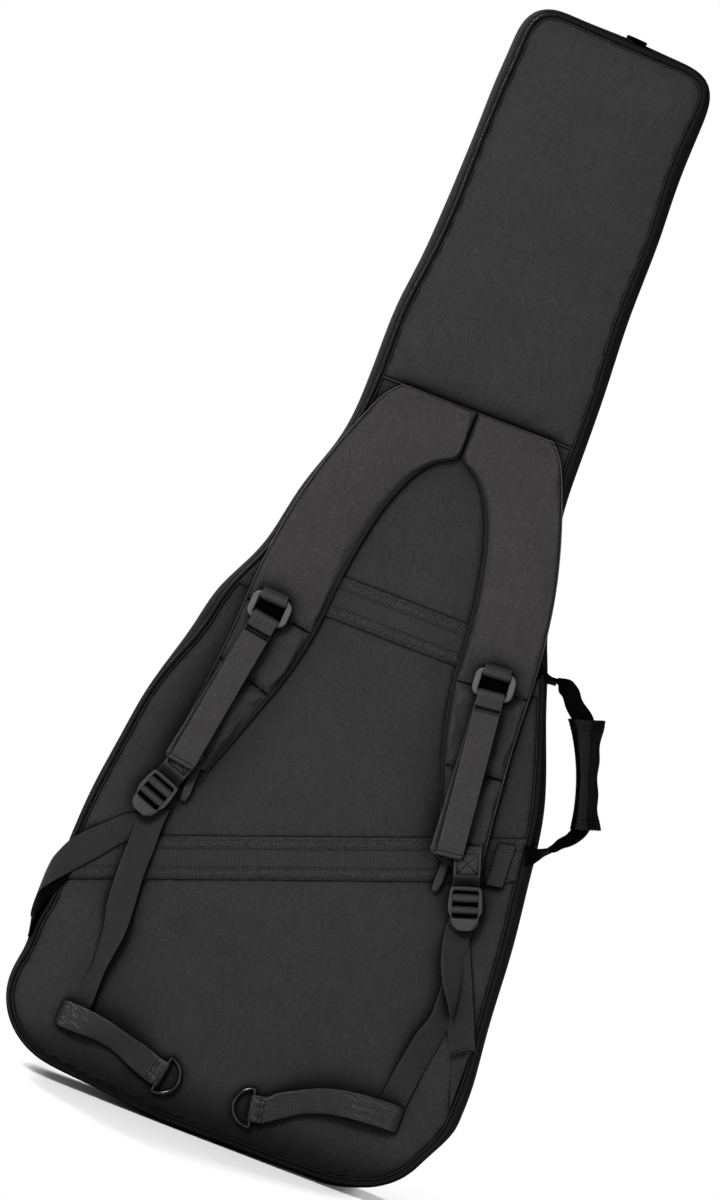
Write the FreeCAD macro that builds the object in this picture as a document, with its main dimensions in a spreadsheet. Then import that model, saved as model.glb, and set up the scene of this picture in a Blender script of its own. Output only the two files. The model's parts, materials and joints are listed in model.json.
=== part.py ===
import FreeCAD, Part
import Sketcher
import os
import re

# Padded gig bag for an acoustic guitar, standing on its bottom edge.
# X runs across the bag, Z up its centre line from the bottom edge, and the strap side faces -Y.
# The rear shell carries the straps and the side handle. The lid opens like a door about a fabric
# hinge at the lower left side. All lengths are millimetres.

doc = FreeCAD.newDocument("gig_bag")

DIMENSIONS = {
    # outline of the bag, half of it: distance from the centre line and height of each corner
    "half_base": 216, "half_wide": 218, "level_wide": 130, "half_hip": 194, "level_hip": 375,
    "half_waist": 140, "level_waist": 535, "half_shoulder": 107, "level_shoulder": 662,
    "half_neck": 96, "level_neck": 900, "level_top": 1087,
    "base_radius": 62, "head_radius": 34, "side_radius": 280,
    # layers of the shell, from the outside in
    "face_depth": 56, "panel_cloth": 2, "panel_foam": 8, "lining_cloth": 1,
    "gusset_cloth": 3, "gusset_foam": 6, "piping_width": 5, "piping_proud": 1, "piping_sunk": 3,
    # main zip, whose two halves meet on one plane
    "zip_plane": 14, "zip_half": 10, "coil_width": 2.3, "coil_gap": 0.7, "coil_top": 2.4,
    "coil_depth": 2, "zip_tape_top": 2.8, "zip_tape_thick": 1.2, "hinge_low": 70, "hinge_high": 250,
    "hinge_gap": 0.1, "hinge_end_gap": 1, "padding_gap": 1,
    # slider of the main zip, and its pull
    "slider_long": 10, "slider_wide": 9, "slider_plate": 1, "slider_play": 0.3, "slider_neck": 1,
    "neck_half_long": 1.5,
    "ear_gap": 0.4, "ear_thick": 0.9, "ear_half": 2.4, "ear_high": 4.1,
    "pull_long": 20, "pull_wide": 5, "pull_thick": 1.4, "pull_pin_radius": 0.9, "pull_play": 0.25,
    "pull_eye_wall": 0.7, "pull_clear": 0.2,
    "right_slider_x": 13, "left_slider_x": -1,
    # bands across the strap side
    "band_wide": 40, "band_thick": 1.5, "upper_band_level": 510, "lower_band_level": 275.5,
    "lower_band_angle": 20.5, "yoke_level": 715, "yoke_wide": 5, "yoke_thick": 1,
    # webbing used for the straps
    "web_wide": 25, "web_thick": 1.6,
    # shoulder pads
    "pad_gap": 2, "pad_mesh_thick": 1.5, "pad_thick": 10.5, "pad_top_bevel": 8,
    # oval ring on each pad, and the eyes of webbing round its two bars
    "ring_long": 39, "ring_high": 27, "ring_bar": 6, "ring_thick": 4.5, "ring_end_radius": 9,
    "ring_edge": 1.5, "ring_play": 0.2, "eye_inner": 3.6, "eye_outer": 5, "keeper_rise": 5,
    "left_ring_x": -114, "left_ring_level": 478, "left_ring_turn": 3,
    "right_ring_x": 103, "right_ring_level": 486.5, "right_ring_turn": -4.5,
    "loop_long": 152, "left_loop_turn": 6.2, "right_loop_turn": -1.9, "loop_thick": 4,
    # ladder lock
    "lock_wide": 31, "lock_long": 41, "lock_thick": 4.5, "lock_top_bar": 5.5, "lock_slot": 8,
    "lock_mid_bar": 4, "lock_slot_wide": 25.6, "lock_top_radius": 4, "lock_tongue_radius": 14,
    "lock_edge": 1.2, "lock_offset": 67,
    "left_lock_x": -153, "left_lock_level": 280, "left_lock_turn": 20,
    "right_lock_x": 152, "right_lock_level": 285, "right_lock_turn": -18,
    "buckle_web_long": 36,
    # strap tails and their D-rings
    "tail_offset": 62, "d_radius": 17.5, "d_wire": 1.5, "d_eye": 3.3, "d_eye_long": 27,
    "d_play": 0.25, "bridge_near": 2, "bridge_far": 11,
    "left_d_x": -54, "left_d_level": 43.5, "left_d_turn": 11,
    "right_d_x": 35, "right_d_level": 44, "right_d_turn": -10,
    # side handle
    "handle_offset": 42, "arm_wide": 11, "arm_thick": 5, "grip_wide": 28, "grip_deep": 26,
    "grip_round": 8, "stub_half": 3, "stub_lean": 18, "upper_stub_long": 10, "lower_stub_long": 8.5,
    # webbing tabs on the side wall
    "tab_gap": 0.2, "wrap_end": -15, "wrap_low": 148, "wrap_high": 188,
    # hang loop at the head
    "hang_x": 14, "hang_wide": 20, "hang_long": 34, "hang_high": 5, "hang_web": 1.4, "hang_end": 4,
    "hang_offset": 33,
    # accessory pocket on the lid
    "pocket_half": 150, "pocket_low": 60, "pocket_high": 350, "pocket_deep": 24, "pocket_cloth": 2,
    "pocket_wall": 3, "pocket_radius": 40, "pocket_zip_level": 318, "pocket_zip_half": 130,
    "pocket_zip_wide": 22, "pocket_coil": 6, "pocket_slider_x": -118, "pocket_zip_stop": 8,
    "pocket_zip_sunk": 1, "pocket_tape_half": 0.6, "pocket_cord": 2, "pocket_cord_deep": 3,
    # blocks inside the rear shell
    "cradle_half": 50, "cradle_low": 760, "cradle_high": 830, "cradle_deep": 20, "neck_radius": 28,
    "neck_rise": 12,
    "bumper_half": 60, "bumper_high": 15,
}

dims = doc.addObject("Spreadsheet::Sheet", "Dims")
for row, (alias, number) in enumerate(DIMENSIONS.items(), start=1):
    dims.set(f"A{row}", alias.replace("_", " "))
    dims.set(f"B{row}", str(number))
    dims.setAlias(f"B{row}", alias)
doc.recompute()

WORD = re.compile(r"[a-z][a-z_]*[a-z]")
FAR = 700          # longer than the bag is wide, for cutting blocks
EVERYWHERE = (f"-{FAR}", FAR)
FULL_HEIGHT = (f"-{FAR}", f"level_top + {FAR}")
NODES = []         # sub-parts that are written out, in order


def formula(text):
    """Turn words of the sheet into references that setExpression understands."""
    return WORD.sub(lambda m: "Dims." + m.group(0) if m.group(0) in DIMENSIONS else m.group(0), str(text))


def value(text):
    """Number of a formula over the sheet's words, for finding edges."""
    return float(dims.evalExpression(formula(text)))


def bind(thing, **settings):
    for name, text in settings.items():
        thing.setExpression(name, formula(text))


def place(thing, x=0, y=0, z=0, turn=0):
    """Put a piece at a point, turned about the Y axis (positive lowers its right-hand end)."""
    lean = FreeCAD.Rotation(FreeCAD.Vector(0, 1, 0), value(turn))
    thing.Placement = FreeCAD.Placement(FreeCAD.Vector(), lean)
    for axis, text in (("x", x), ("y", y), ("z", z)):
        thing.setExpression(f"Placement.Base.{axis}", formula(text))
    if turn:
        thing.setExpression("Placement.Rotation.Angle", formula(turn))


def keep(thing, label):
    """Name a finished sub-part and list it for export."""
    thing.Label = label
    NODES.append(thing)
    return thing


# ---------------------------------------------------------------- sketches and solids

def plane(body, role):
    return next(f for f in body.Origin.OriginFeatures if f.Role == role)


def add_loop(sketch, corners):
    """Closed loop of straight lines whose corners sit at formulas over the sheet."""
    points = [FreeCAD.Vector(value(x), value(z), 0) for x, z in corners]
    first = sketch.GeometryCount
    count = len(points)
    for i in range(count):
        sketch.addGeometry(Part.LineSegment(points[i], points[(i + 1) % count]), False)
    for i in range(count):
        sketch.addConstraint(Sketcher.Constraint("Coincident", first + i, 2, first + (i + 1) % count, 1))
    for i, (x, z) in enumerate(corners):
        for kind, text, number in (("DistanceX", x, points[i].x), ("DistanceY", z, points[i].y)):
            index = sketch.addConstraint(Sketcher.Constraint(kind, -1, 1, first + i, 1, number))
            sketch.setExpression(f"Constraints[{index}]", formula(text))


def front_sketch(body, name, loops):
    """Sketch on the body's own XZ plane. Its normal is -Y."""
    sketch = body.newObject("Sketcher::SketchObject", name)
    sketch.AttachmentSupport = [(plane(body, "XZ_Plane"), "")]
    sketch.MapMode = "FlatFace"
    for corners in loops:
        add_loop(sketch, corners)
    return sketch


def slab(name, corners, thick, holes=()):
    """Body of one flat piece: the outline in XZ, its outer face at -thick, its inner face at Y = 0."""
    body = doc.addObject("PartDesign::Body", name)
    sketch = front_sketch(body, name + "_outline", [corners])
    pad = body.newObject("PartDesign::Pad", name + "_pad")
    pad.Profile = sketch
    bind(pad, Length=thick)
    if holes:
        cut = body.newObject("PartDesign::Pocket", name + "_slots")
        cut.Profile = front_sketch(body, name + "_slot_sketch", holes)
        cut.Type = "ThroughAll"
        cut.Midplane = True
    doc.recompute()
    return body


def round_corners(body, corners, radius):
    """Fillet the edges that stand at the given corners of the outline."""
    spots = [(value(x), value(z)) for x, z in corners]
    names = []
    for number, edge in enumerate(body.Tip.Shape.Edges, start=1):
        ends = [v.Point for v in edge.Vertexes]
        upright = len(ends) == 2 and abs(ends[0].x - ends[1].x) + abs(ends[0].z - ends[1].z) < 1e-6
        if upright and any(abs(ends[0].x - x) + abs(ends[0].z - z) < 1e-3 for x, z in spots):
            names.append(f"Edge{number}")
    fillet = body.newObject("PartDesign::Fillet", body.Name + "_round")
    fillet.Base = (body.Tip if body.Tip != fillet else fillet.BaseFeature, names)
    bind(fillet, Radius=radius)
    doc.recompute()


def soften(body, radius, faces):
    """Fillet every edge of the chosen outer (-Y) and inner (Y = 0) faces."""
    solid = body.Tip.Shape
    levels = {"outer": solid.BoundBox.YMin, "inner": solid.BoundBox.YMax}
    wanted = [levels[f] for f in faces]
    names = []
    for number, edge in enumerate(solid.Edges, start=1):
        box = edge.BoundBox
        if box.YLength < 1e-6 and any(abs(box.YMin - level) < 1e-6 for level in wanted):
            names.append(f"Edge{number}")
    fillet = body.newObject("PartDesign::Fillet", body.Name + "_soft")
    fillet.Base = (fillet.BaseFeature, names)
    bind(fillet, Radius=radius)
    doc.recompute()


def block(name, x, y, z, turn=0, about=(0, 0)):
    """Part::Box between two formulas on each axis, or turned about a point of the XZ plane."""
    box = doc.addObject("Part::Box", name)
    bind(box, Length=f"({x[1]}) - ({x[0]})", Width=f"({y[1]}) - ({y[0]})", Height=f"({z[1]}) - ({z[0]})")
    if not turn:
        place(box, x[0], y[0], z[0])
        return box
    angle = value(turn)
    middle = FreeCAD.Rotation(FreeCAD.Vector(0, 1, 0), angle)
    corner = middle.multVec(FreeCAD.Vector(value(x[0]), 0, value(z[0])))
    place(box, f"({about[0]}) + ({corner.x})", y[0], f"({about[1]}) + ({corner.z})", turn)
    return box


def rod(name, radius, x, y, z):
    """Part::Cylinder lying along X between two formulas."""
    bar = doc.addObject("Part::Cylinder", name)
    bind(bar, Radius=radius, Height=f"({x[1]}) - ({x[0]})")
    bar.Placement = FreeCAD.Placement(FreeCAD.Vector(), FreeCAD.Rotation(FreeCAD.Vector(0, 1, 0), 90))
    for axis, text in (("x", x[0]), ("y", y), ("z", z)):
        bar.setExpression(f"Placement.Base.{axis}", formula(text))
    return bar


def cut(name, base, tool):
    result = doc.addObject("Part::Cut", name)
    result.Base = base
    result.Tool = tool
    return result


def common(name, base, tool):
    result = doc.addObject("Part::Common", name)
    result.Base = base
    result.Tool = tool
    return result


def fuse(name, *pieces):
    result = doc.addObject("Part::MultiFuse", name)
    result.Shapes = list(pieces)
    result.Refine = True
    return result


# ---------------------------------------------------------------- outline of the bag

def side_corners(inset):
    """Right-hand corners of the outline from the bottom up, each moved in by the inset."""
    names = ("wide", "hip", "waist", "shoulder", "neck")
    return [(f"half_{n} - ({inset})", f"level_{n}") for n in names]


def outline(inset):
    right = [(f"half_base - ({inset})", f"{inset}")] + side_corners(inset)
    right.append((f"half_neck - ({inset})", f"level_top - ({inset})"))
    return right + [(f"-({x})", z) for x, z in reversed(right)]


def bag_slab(name, inset, near, far):
    """Slab of the bag's outline, from Y = near (strap side) to Y = far."""
    corners = outline(inset)
    body = slab(name, corners, f"({far}) - ({near})")
    round_corners(body, [corners[0], corners[-1]], f"base_radius - ({inset})")
    round_corners(body, [corners[6], corners[7]], f"head_radius - ({inset})")
    round_corners(body, corners[1:6] + corners[8:13], "side_radius")
    place(body, y=far)
    return body


CORES = {}


def core(inset):
    """Tool of the same outline, longer than the bag is deep. Each inset is made once."""
    if inset not in CORES:
        CORES[inset] = bag_slab(f"core_{len(CORES)}", inset, f"-{FAR}", FAR)
    return CORES[inset]


def bag_ring(name, outer, inner, near, far):
    """Wall that follows the outline between two insets."""
    return cut(name, bag_slab(name + "_block", outer, near, far), core(inner))


BACK = "(-face_depth)"
FRONT = "face_depth"
PIPING_IN = "gusset_cloth + piping_width"
FOAM_IN = "gusset_cloth + gusset_foam"
LINING_IN = "gusset_cloth + gusset_foam + lining_cloth"
ZIP_REAR = "zip_plane - zip_half"
ZIP_FRONT = "zip_plane + zip_half"
REAR_PADDING_END = "zip_plane - zip_half - padding_gap"
LID_PADDING_START = "zip_plane + zip_half + padding_gap"
HINGE_X = (f"-{FAR}", "-half_waist")
HINGE_Z = ("hinge_low", "hinge_high")


def rear_shell():
    skin = bag_slab("back_skin", PIPING_IN, BACK, f"{BACK} + panel_cloth")
    above = block("above_yoke", EVERYWHERE, EVERYWHERE, ("yoke_level", f"level_top + {FAR}"))
    keep(common("neck_cloth", skin, above), "neck_panel")
    keep(cut("body_cloth", skin, above), "body_panel")
    foam_start = f"{BACK} + panel_cloth"
    lining_start = f"{foam_start} + panel_foam"
    keep(bag_slab("back_pad", FOAM_IN, foam_start, lining_start), "back_foam")
    keep(bag_slab("back_liner", FOAM_IN, lining_start, f"{lining_start} + lining_cloth"), "back_lining")
    keep(bag_ring("back_cord", "gusset_cloth", PIPING_IN,
                  f"{BACK} - piping_proud", f"{BACK} + piping_sunk"), "back_piping")

    # The wall ends at the zip tape, except at the fabric hinge, where it runs on to the zip plane.
    wall = bag_ring("rear_wall", "0", "gusset_cloth", BACK, "zip_plane - hinge_gap")
    zip_band = block("rear_zip_band", EVERYWHERE, (ZIP_REAR, "zip_plane"), FULL_HEIGHT)
    hinge = block("rear_hinge_zone", HINGE_X, (ZIP_REAR, "zip_plane"), HINGE_Z)
    keep(cut("rear_wall_open", wall, cut("rear_zip_zone", zip_band, hinge)), "rear_gusset")
    keep(bag_ring("rear_wall_pad", "gusset_cloth", FOAM_IN,
                  f"{BACK} + piping_sunk", REAR_PADDING_END), "rear_gusset_foam")
    keep(bag_ring("rear_wall_liner", FOAM_IN, LINING_IN,
                  f"{lining_start} + lining_cloth", REAR_PADDING_END), "rear_gusset_lining")
    zip_half("rear", -1)


def lid_shell():
    panel_start = f"{FRONT} - panel_cloth"
    foam_start = f"{panel_start} - panel_foam"
    lining_start = f"{foam_start} - lining_cloth"
    keep(bag_slab("front_skin", PIPING_IN, panel_start, FRONT), "front_panel")
    keep(bag_slab("front_pad", FOAM_IN, foam_start, panel_start), "front_foam")
    keep(bag_slab("front_liner", FOAM_IN, lining_start, foam_start), "front_lining")
    keep(bag_ring("front_cord", "gusset_cloth", PIPING_IN,
                  f"{FRONT} - piping_sunk", f"{FRONT} + piping_proud"), "front_piping")
    wall = bag_ring("lid_wall", "0", "gusset_cloth", "zip_plane + hinge_gap", FRONT)
    zip_band = block("lid_zip_band", EVERYWHERE, ("zip_plane", ZIP_FRONT), FULL_HEIGHT)
    hinge = block("lid_hinge_zone", HINGE_X, ("zip_plane", ZIP_FRONT), HINGE_Z)
    keep(cut("lid_wall_open", wall, cut("lid_zip_zone", zip_band, hinge)), "lid_gusset")
    keep(bag_ring("lid_wall_pad", "gusset_cloth", FOAM_IN,
                  LID_PADDING_START, f"{FRONT} - piping_sunk"), "lid_gusset_foam")
    keep(bag_ring("lid_wall_liner", FOAM_IN, LINING_IN,
                  LID_PADDING_START, lining_start), "lid_gusset_lining")
    zip_half("lid", 1)


def zip_half(side, sign):
    """Tape and coil of one half of the main zip. Both stop at the fabric hinge."""
    span = {-1: lambda a, b: (f"zip_plane - ({b})", f"zip_plane - ({a})"),
            1: lambda a, b: (f"zip_plane + ({a})", f"zip_plane + ({b})")}[sign]
    hinge = block(f"{side}_zip_gap", HINGE_X, EVERYWHERE,
                  ("hinge_low - hinge_end_gap", "hinge_high + hinge_end_gap"))
    near, far = span("coil_gap + coil_width", "zip_half")
    tape = bag_ring(f"{side}_tape", "zip_tape_top", "zip_tape_top + zip_tape_thick", near, far)
    keep(cut(f"{side}_tape_open", tape, hinge), f"{side}_zip_tape")
    near, far = span("coil_gap", "coil_gap + coil_width")
    coil = bag_ring(f"{side}_coil", "coil_top", "coil_top + coil_depth", near, far)
    keep(cut(f"{side}_coil_open", coil, hinge), f"{side}_zip_coil")


# ---------------------------------------------------------------- zip sliders

def slider(label, x, y, z, lie):
    """Two plates on a narrow neck between the coils, with a bridge for the pull.

    The slider is built for a zip whose outside faces +Z and that runs along X.
    lie turns it about the X axis, for the pocket's zip, which faces +Y."""
    half = "slider_wide / 2"
    length = ("-slider_long / 2", "slider_long / 2")
    inner_play = "coil_depth / 2 + slider_play"
    roof = f"{inner_play} + slider_plate"
    plates = [block(f"{label}_top", length, (f"-{half}", half), (inner_play, roof)),
              block(f"{label}_under", length, (f"-{half}", half), (f"-({roof})", f"-({inner_play})"))]
    neck = block(f"{label}_neck", ("-neck_half_long", "neck_half_long"),
                 ("-slider_neck / 2", "slider_neck / 2"), (f"-({inner_play})", inner_play))
    ear_in = "pull_wide / 2 + ear_gap"
    ear_out = f"{ear_in} + ear_thick"
    ears = [block(f"{label}_ear_{i}", ("-ear_half", "ear_half"), span, (roof, f"{roof} + ear_high"))
            for i, span in enumerate(((f"-({ear_out})", f"-({ear_in})"), (ear_in, ear_out)))]
    axle = cross_rod(f"{label}_axle", "pull_pin_radius", f"2 * ({ear_in}) + ear_thick", AXLE_RISE)
    body = fuse(f"{label}_solid", *plates, neck, *ears, axle)
    turn_about_x(body, x, y, z, lie)
    keep(body, label)


def pull(label, x, y, z, lie, way):
    """Pull tab with an eye round the slider's axle, lying along X towards way (+1 or -1)."""
    bore = "pull_pin_radius + pull_play"
    eye = cross_rod(f"{label}_eye", f"{bore} + pull_eye_wall", "pull_wide", "0")
    hole = cross_rod(f"{label}_bore", bore, "2 * pull_wide", "0")
    span = ("pull_pin_radius", "pull_long") if way > 0 else ("-pull_long", "-pull_pin_radius")
    tab = block(f"{label}_tab", span, ("-pull_wide / 2", "pull_wide / 2"), ("0", "pull_thick"))
    body = cut(f"{label}_solid", fuse(f"{label}_whole", eye, tab), hole)
    turn_about_x(body, x, y, z, lie)
    keep(body, label)


def cross_rod(name, radius, length, level):
    """Part::Cylinder lying along Y, centred on Y = 0."""
    bar = doc.addObject("Part::Cylinder", name)
    bind(bar, Radius=radius, Height=length)
    bar.Placement = FreeCAD.Placement(FreeCAD.Vector(), FreeCAD.Rotation(FreeCAD.Vector(1, 0, 0), 90))
    bar.setExpression("Placement.Base.y", formula(f"({length}) / 2"))
    bar.setExpression("Placement.Base.z", formula(level))
    return bar


def turn_about_x(thing, x, y, z, angle):
    thing.Placement = FreeCAD.Placement(FreeCAD.Vector(), FreeCAD.Rotation(FreeCAD.Vector(1, 0, 0), angle))
    for axis, text in (("x", x), ("y", y), ("z", z)):
        thing.setExpression(f"Placement.Base.{axis}", formula(text))


ZIP_LEVEL = "level_top - coil_top - coil_depth / 2"
AXLE_RISE = ("coil_depth / 2 + slider_play + slider_plate"
             " + pull_pin_radius + pull_play + pull_eye_wall + pull_clear")
POCKET_FACE = "face_depth + pocket_deep"


def zip_sliders():
    slider("right_zip_slider", "right_slider_x", "zip_plane", ZIP_LEVEL, 0)
    slider("left_zip_slider", "left_slider_x", "zip_plane", ZIP_LEVEL, 0)
    pull("right_zip_pull", "right_slider_x", "zip_plane", f"{ZIP_LEVEL} + {AXLE_RISE}", 0, 1)
    pull("left_zip_pull", "left_slider_x", "zip_plane", f"{ZIP_LEVEL} + {AXLE_RISE}", 0, -1)


# ---------------------------------------------------------------- accessory pocket

def pocket_frame(name, inset, near, far):
    corners = [(f"pocket_half - ({inset})", f"pocket_low + ({inset})"),
               (f"pocket_half - ({inset})", f"pocket_high - ({inset})")]
    corners += [(f"-({x})", z) for x, z in reversed(corners)]
    body = slab(name, corners, f"({far}) - ({near})")
    round_corners(body, corners, f"pocket_radius - ({inset})")
    place(body, y=far)
    return body


def pocket():
    skin_start = f"{POCKET_FACE} - pocket_cloth"
    wall = pocket_frame("pocket_wall_block", "0", FRONT, skin_start)
    hollow = pocket_frame("pocket_hollow", "pocket_wall", "0", FAR)
    keep(cut("pocket_wall", wall, hollow), "pocket_gusset")
    # The mouth of the pocket is a straight slit, closed by its zip.
    mouth_z = ("pocket_zip_level - pocket_zip_wide / 2", "pocket_zip_level + pocket_zip_wide / 2")
    mouth_x = ("-pocket_zip_half", "pocket_zip_half")
    mouth = block("pocket_mouth", mouth_x, (FRONT, FAR), mouth_z)
    keep(cut("pocket_face_open", pocket_frame("pocket_face", "0", skin_start, POCKET_FACE), mouth),
         "pocket_panel")
    cord_out = pocket_frame("pocket_cord_block", "-pocket_cord", f"{POCKET_FACE} - pocket_cord_deep",
                            POCKET_FACE)
    keep(cut("pocket_cord", cord_out, pocket_frame("pocket_cord_core", "0", "0", FAR)), "pocket_piping")
    # Two tapes with a coil on each, and the gap between the coils that the slider's neck runs in.
    face = f"{POCKET_FACE} - pocket_zip_sunk"
    tape = block("pocket_tape", mouth_x, (f"{face} - pocket_tape_half", f"{face} + pocket_tape_half"),
                 mouth_z)
    coil = block("pocket_teeth", mouth_x, (f"{face} - coil_depth / 2", f"{face} + coil_depth / 2"),
                 ("pocket_zip_level - pocket_coil / 2", "pocket_zip_level + pocket_coil / 2"))
    gap = block("pocket_teeth_gap",
                ("-pocket_zip_half + pocket_zip_stop", "pocket_zip_half - pocket_zip_stop"), ("0", FAR),
                ("pocket_zip_level - coil_gap", "pocket_zip_level + coil_gap"))
    keep(cut("pocket_zip", fuse("pocket_zip_block", tape, coil), gap), "pocket_zip_tape")
    slider("pocket_slider", "pocket_slider_x", face, "pocket_zip_level", -90)
    pull("pocket_pull", "pocket_slider_x", f"{face} + {AXLE_RISE}", "pocket_zip_level", -90, 1)


# ---------------------------------------------------------------- bands, tabs and loops on the rear shell

PANEL_FACE = "-face_depth"
BAND_FACE = "-face_depth - band_thick"


def bands():
    panel = core(PIPING_IN)
    y = (BAND_FACE, PANEL_FACE)
    half = "band_wide / 2"
    strip = block("upper_strip", EVERYWHERE, y,
                  (f"upper_band_level - {half}", f"upper_band_level + {half}"))
    keep(common("upper_strip_trimmed", strip, panel), "upper_band")
    strip = block("lower_strip", EVERYWHERE, y, (f"-{half}", half),
                  turn="-lower_band_angle", about=("0", "lower_band_level"))
    keep(common("lower_strip_trimmed", strip, panel), "lower_band")
    strip = block("yoke_strip", EVERYWHERE, ("-face_depth - yoke_thick", PANEL_FACE),
                  ("yoke_level - yoke_wide / 2", "yoke_level + yoke_wide / 2"))
    keep(common("yoke_strip_trimmed", strip, panel), "yoke_binding")


def anchors():
    """Lower webbing roots. The left one wraps round the side wall, the right one ends on a sewn tab."""
    side = "half_wide + tab_gap"
    face = slab("left_anchor_face", [("-150", "240"), ("-172", "262"), ("-220", "190"),
                                     ("-220", "wrap_low"), ("-196", "186")], "web_thick")
    place(face, y=BAND_FACE)
    wrap = block("left_anchor_wrap", (f"-({side}) - web_thick", f"-({side})"),
                 (f"{BAND_FACE} - web_thick", "wrap_end"), ("wrap_low", "wrap_high"))
    keep(fuse("left_anchor", face, wrap), "left_anchor_webbing")
    face = slab("right_anchor", [("157", "250"), ("176", "262"), ("194", "215"), ("208", "172"),
                                 ("187", "156"), ("180", "185")], "web_thick")
    place(face, y=BAND_FACE)
    keep(face, "right_anchor_webbing")
    tab = slab("right_tab", [("187", "156"), ("204.5", "169.5"), ("205", "108")], "band_thick")
    place(tab, y=PANEL_FACE)
    side_tab = block("left_tab", (f"-({side})", "-half_wide"), ("-40", "-12"), ("105", "wrap_high"))
    keep(fuse("tabs", tab, side_tab), "anchor_tabs")


def hang_loop():
    half = "hang_wide / 2"
    x = (f"hang_x - {half}", f"hang_x + {half}")
    outer = block("hang_outer", x, ("-hang_offset - hang_long / 2", "-hang_offset + hang_long / 2"),
                  ("level_top", "level_top + hang_high"))
    inner = block("hang_inner", ("hang_x - hang_wide", "hang_x + hang_wide"),
                  ("-hang_offset - hang_long / 2 + hang_end", "-hang_offset + hang_long / 2 - hang_end"),
                  ("level_top + hang_web", "level_top + hang_high - hang_web"))
    keep(cut("hang_web_loop", outer, inner), "hang_loop")


def inside_blocks():
    floor = "-face_depth + panel_cloth + panel_foam + lining_cloth"
    cradle = block("cradle_block", ("-cradle_half", "cradle_half"), (floor, f"{floor} + cradle_deep"),
                   ("cradle_low", "cradle_high"))
    groove = doc.addObject("Part::Cylinder", "cradle_groove")
    bind(groove, Radius="neck_radius", Height="3 * (cradle_high - cradle_low)")
    place(groove, 0, f"{floor} + cradle_deep + neck_rise", "2 * cradle_low - cradle_high")
    keep(cut("cradle", cradle, groove), "neck_cradle")
    keep(block("bumper", ("-bumper_half", "bumper_half"), (floor, REAR_PADDING_END),
               (LINING_IN, f"{LINING_IN} + bumper_high")), "end_bumper")


# ---------------------------------------------------------------- side handle

# Pivots and ends of the grip in the XZ plane, at the right-hand side of the bag.
ARM_TOP = (160.0, 510.0)
ARM_TOP_BEND = (175.0, 511.0)
GRIP_TOP = (196.0, 487.0)
GRIP_LOW = (230.0, 391.0)
ARM_LOW_BEND = (224.0, 378.0)
ARM_LOW = (208.0, 363.0)


def limb(name, start, end, wide, thick):
    """Straight bar of a rectangular section between two points of the XZ plane."""
    run = FreeCAD.Vector(end[0] - start[0], 0, end[1] - start[1])
    bar = doc.addObject("Part::Box", name)
    bind(bar, Width=wide, Height=thick)
    bar.Length = run.Length
    turn = FreeCAD.Rotation(FreeCAD.Vector(1, 0, 0), run)
    corner = turn.multVec(FreeCAD.Vector(0, -value(wide) / 2, -value(thick) / 2))
    base = FreeCAD.Vector(start[0], -value("handle_offset"), start[1]) + corner
    bar.Placement = FreeCAD.Placement(base, turn)
    return bar


def handle():
    path = [ARM_TOP, ARM_TOP_BEND, GRIP_TOP, GRIP_LOW, ARM_LOW_BEND, ARM_LOW]
    legs = list(zip(path, path[1:]))
    strips = [limb(f"arm_{i}", *leg, "arm_wide", "arm_thick") for i, leg in enumerate(legs)]
    keep(fuse("handle_strap", *strips), "handle_webbing")
    sleeve = limb("grip_block", GRIP_TOP, GRIP_LOW, "grip_deep", "grip_wide")
    rounded = doc.addObject("Part::Fillet", "grip_round")
    rounded.Base = sleeve
    doc.recompute()
    along = [i for i, e in enumerate(sleeve.Shape.Edges, start=1) if e.Length > value("3 * grip_wide")]
    rounded.Edges = [(i, value("grip_round"), value("grip_round")) for i in along]
    channel = fuse("grip_channel", *[limb(f"grip_core_{i}", *leg, "arm_wide", "arm_thick")
                                     for i, leg in enumerate(legs[1:4])])
    keep(cut("grip_sleeve", rounded, channel), "handle_grip")

    # Stubs of webbing on the side wall, one in front of each end of the handle.
    stub_y = ("-handle_offset - arm_wide / 2", "-handle_offset + arm_wide / 2")
    stub_z = ("-stub_half", "stub_half")
    upper = block("upper_stub", ("0", "upper_stub_long"), stub_y, stub_z, turn="-stub_lean",
                  about=("143.5", "505"))
    lower = block("lower_stub", ("0", "lower_stub_long"), stub_y, stub_z, turn="-stub_lean",
                  about=("192.8", "357"))
    keep(cut("stubs_trimmed", fuse("stubs", upper, lower), core("0")), "handle_tabs")


# ---------------------------------------------------------------- shoulder straps

# Half outline of a shoulder pad: distance from the centre line and height.
PAD_OUTLINE = [
    (1.5, 714), (1.5, 669), (18, 660), (36, 641), (50, 610), (60, 568), (67, 515), (70, 475),
    (79, 430), (98, 372), (117, 318), (154, 312), (147, 370), (140, 440), (136, 515), (127, 580),
    (112, 636), (98, 674), (84, 704), (74, 714),
]
PAD_FACE = "-face_depth - pad_gap - pad_mesh_thick - pad_thick"


def shoulder_pad(side, sign):
    corners = [(str(sign * x), str(z)) for x, z in PAD_OUTLINE]
    mesh = slab(f"{side}_mesh", corners, "pad_mesh_thick")
    place(mesh, y="-face_depth - pad_gap")
    keep(mesh, f"{side}_pad_mesh")
    pad = slab(f"{side}_pad", corners, "pad_thick")
    outer = pad.Tip.Shape.BoundBox.YMin
    top = [f"Edge{n}" for n, e in enumerate(pad.Tip.Shape.Edges, start=1)
           if e.BoundBox.YLength < 1e-6 and abs(e.BoundBox.YMin - outer) < 1e-6
           and e.BoundBox.ZMin > value("yoke_level") - 2]
    bevel = pad.newObject("PartDesign::Chamfer", f"{side}_pad_bevel")
    bevel.Base = (bevel.BaseFeature, top)
    bind(bevel, Size="pad_top_bevel")
    doc.recompute()
    place(pad, y="-face_depth - pad_gap - pad_mesh_thick")
    keep(pad, f"{side}_shoulder_pad")


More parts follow.
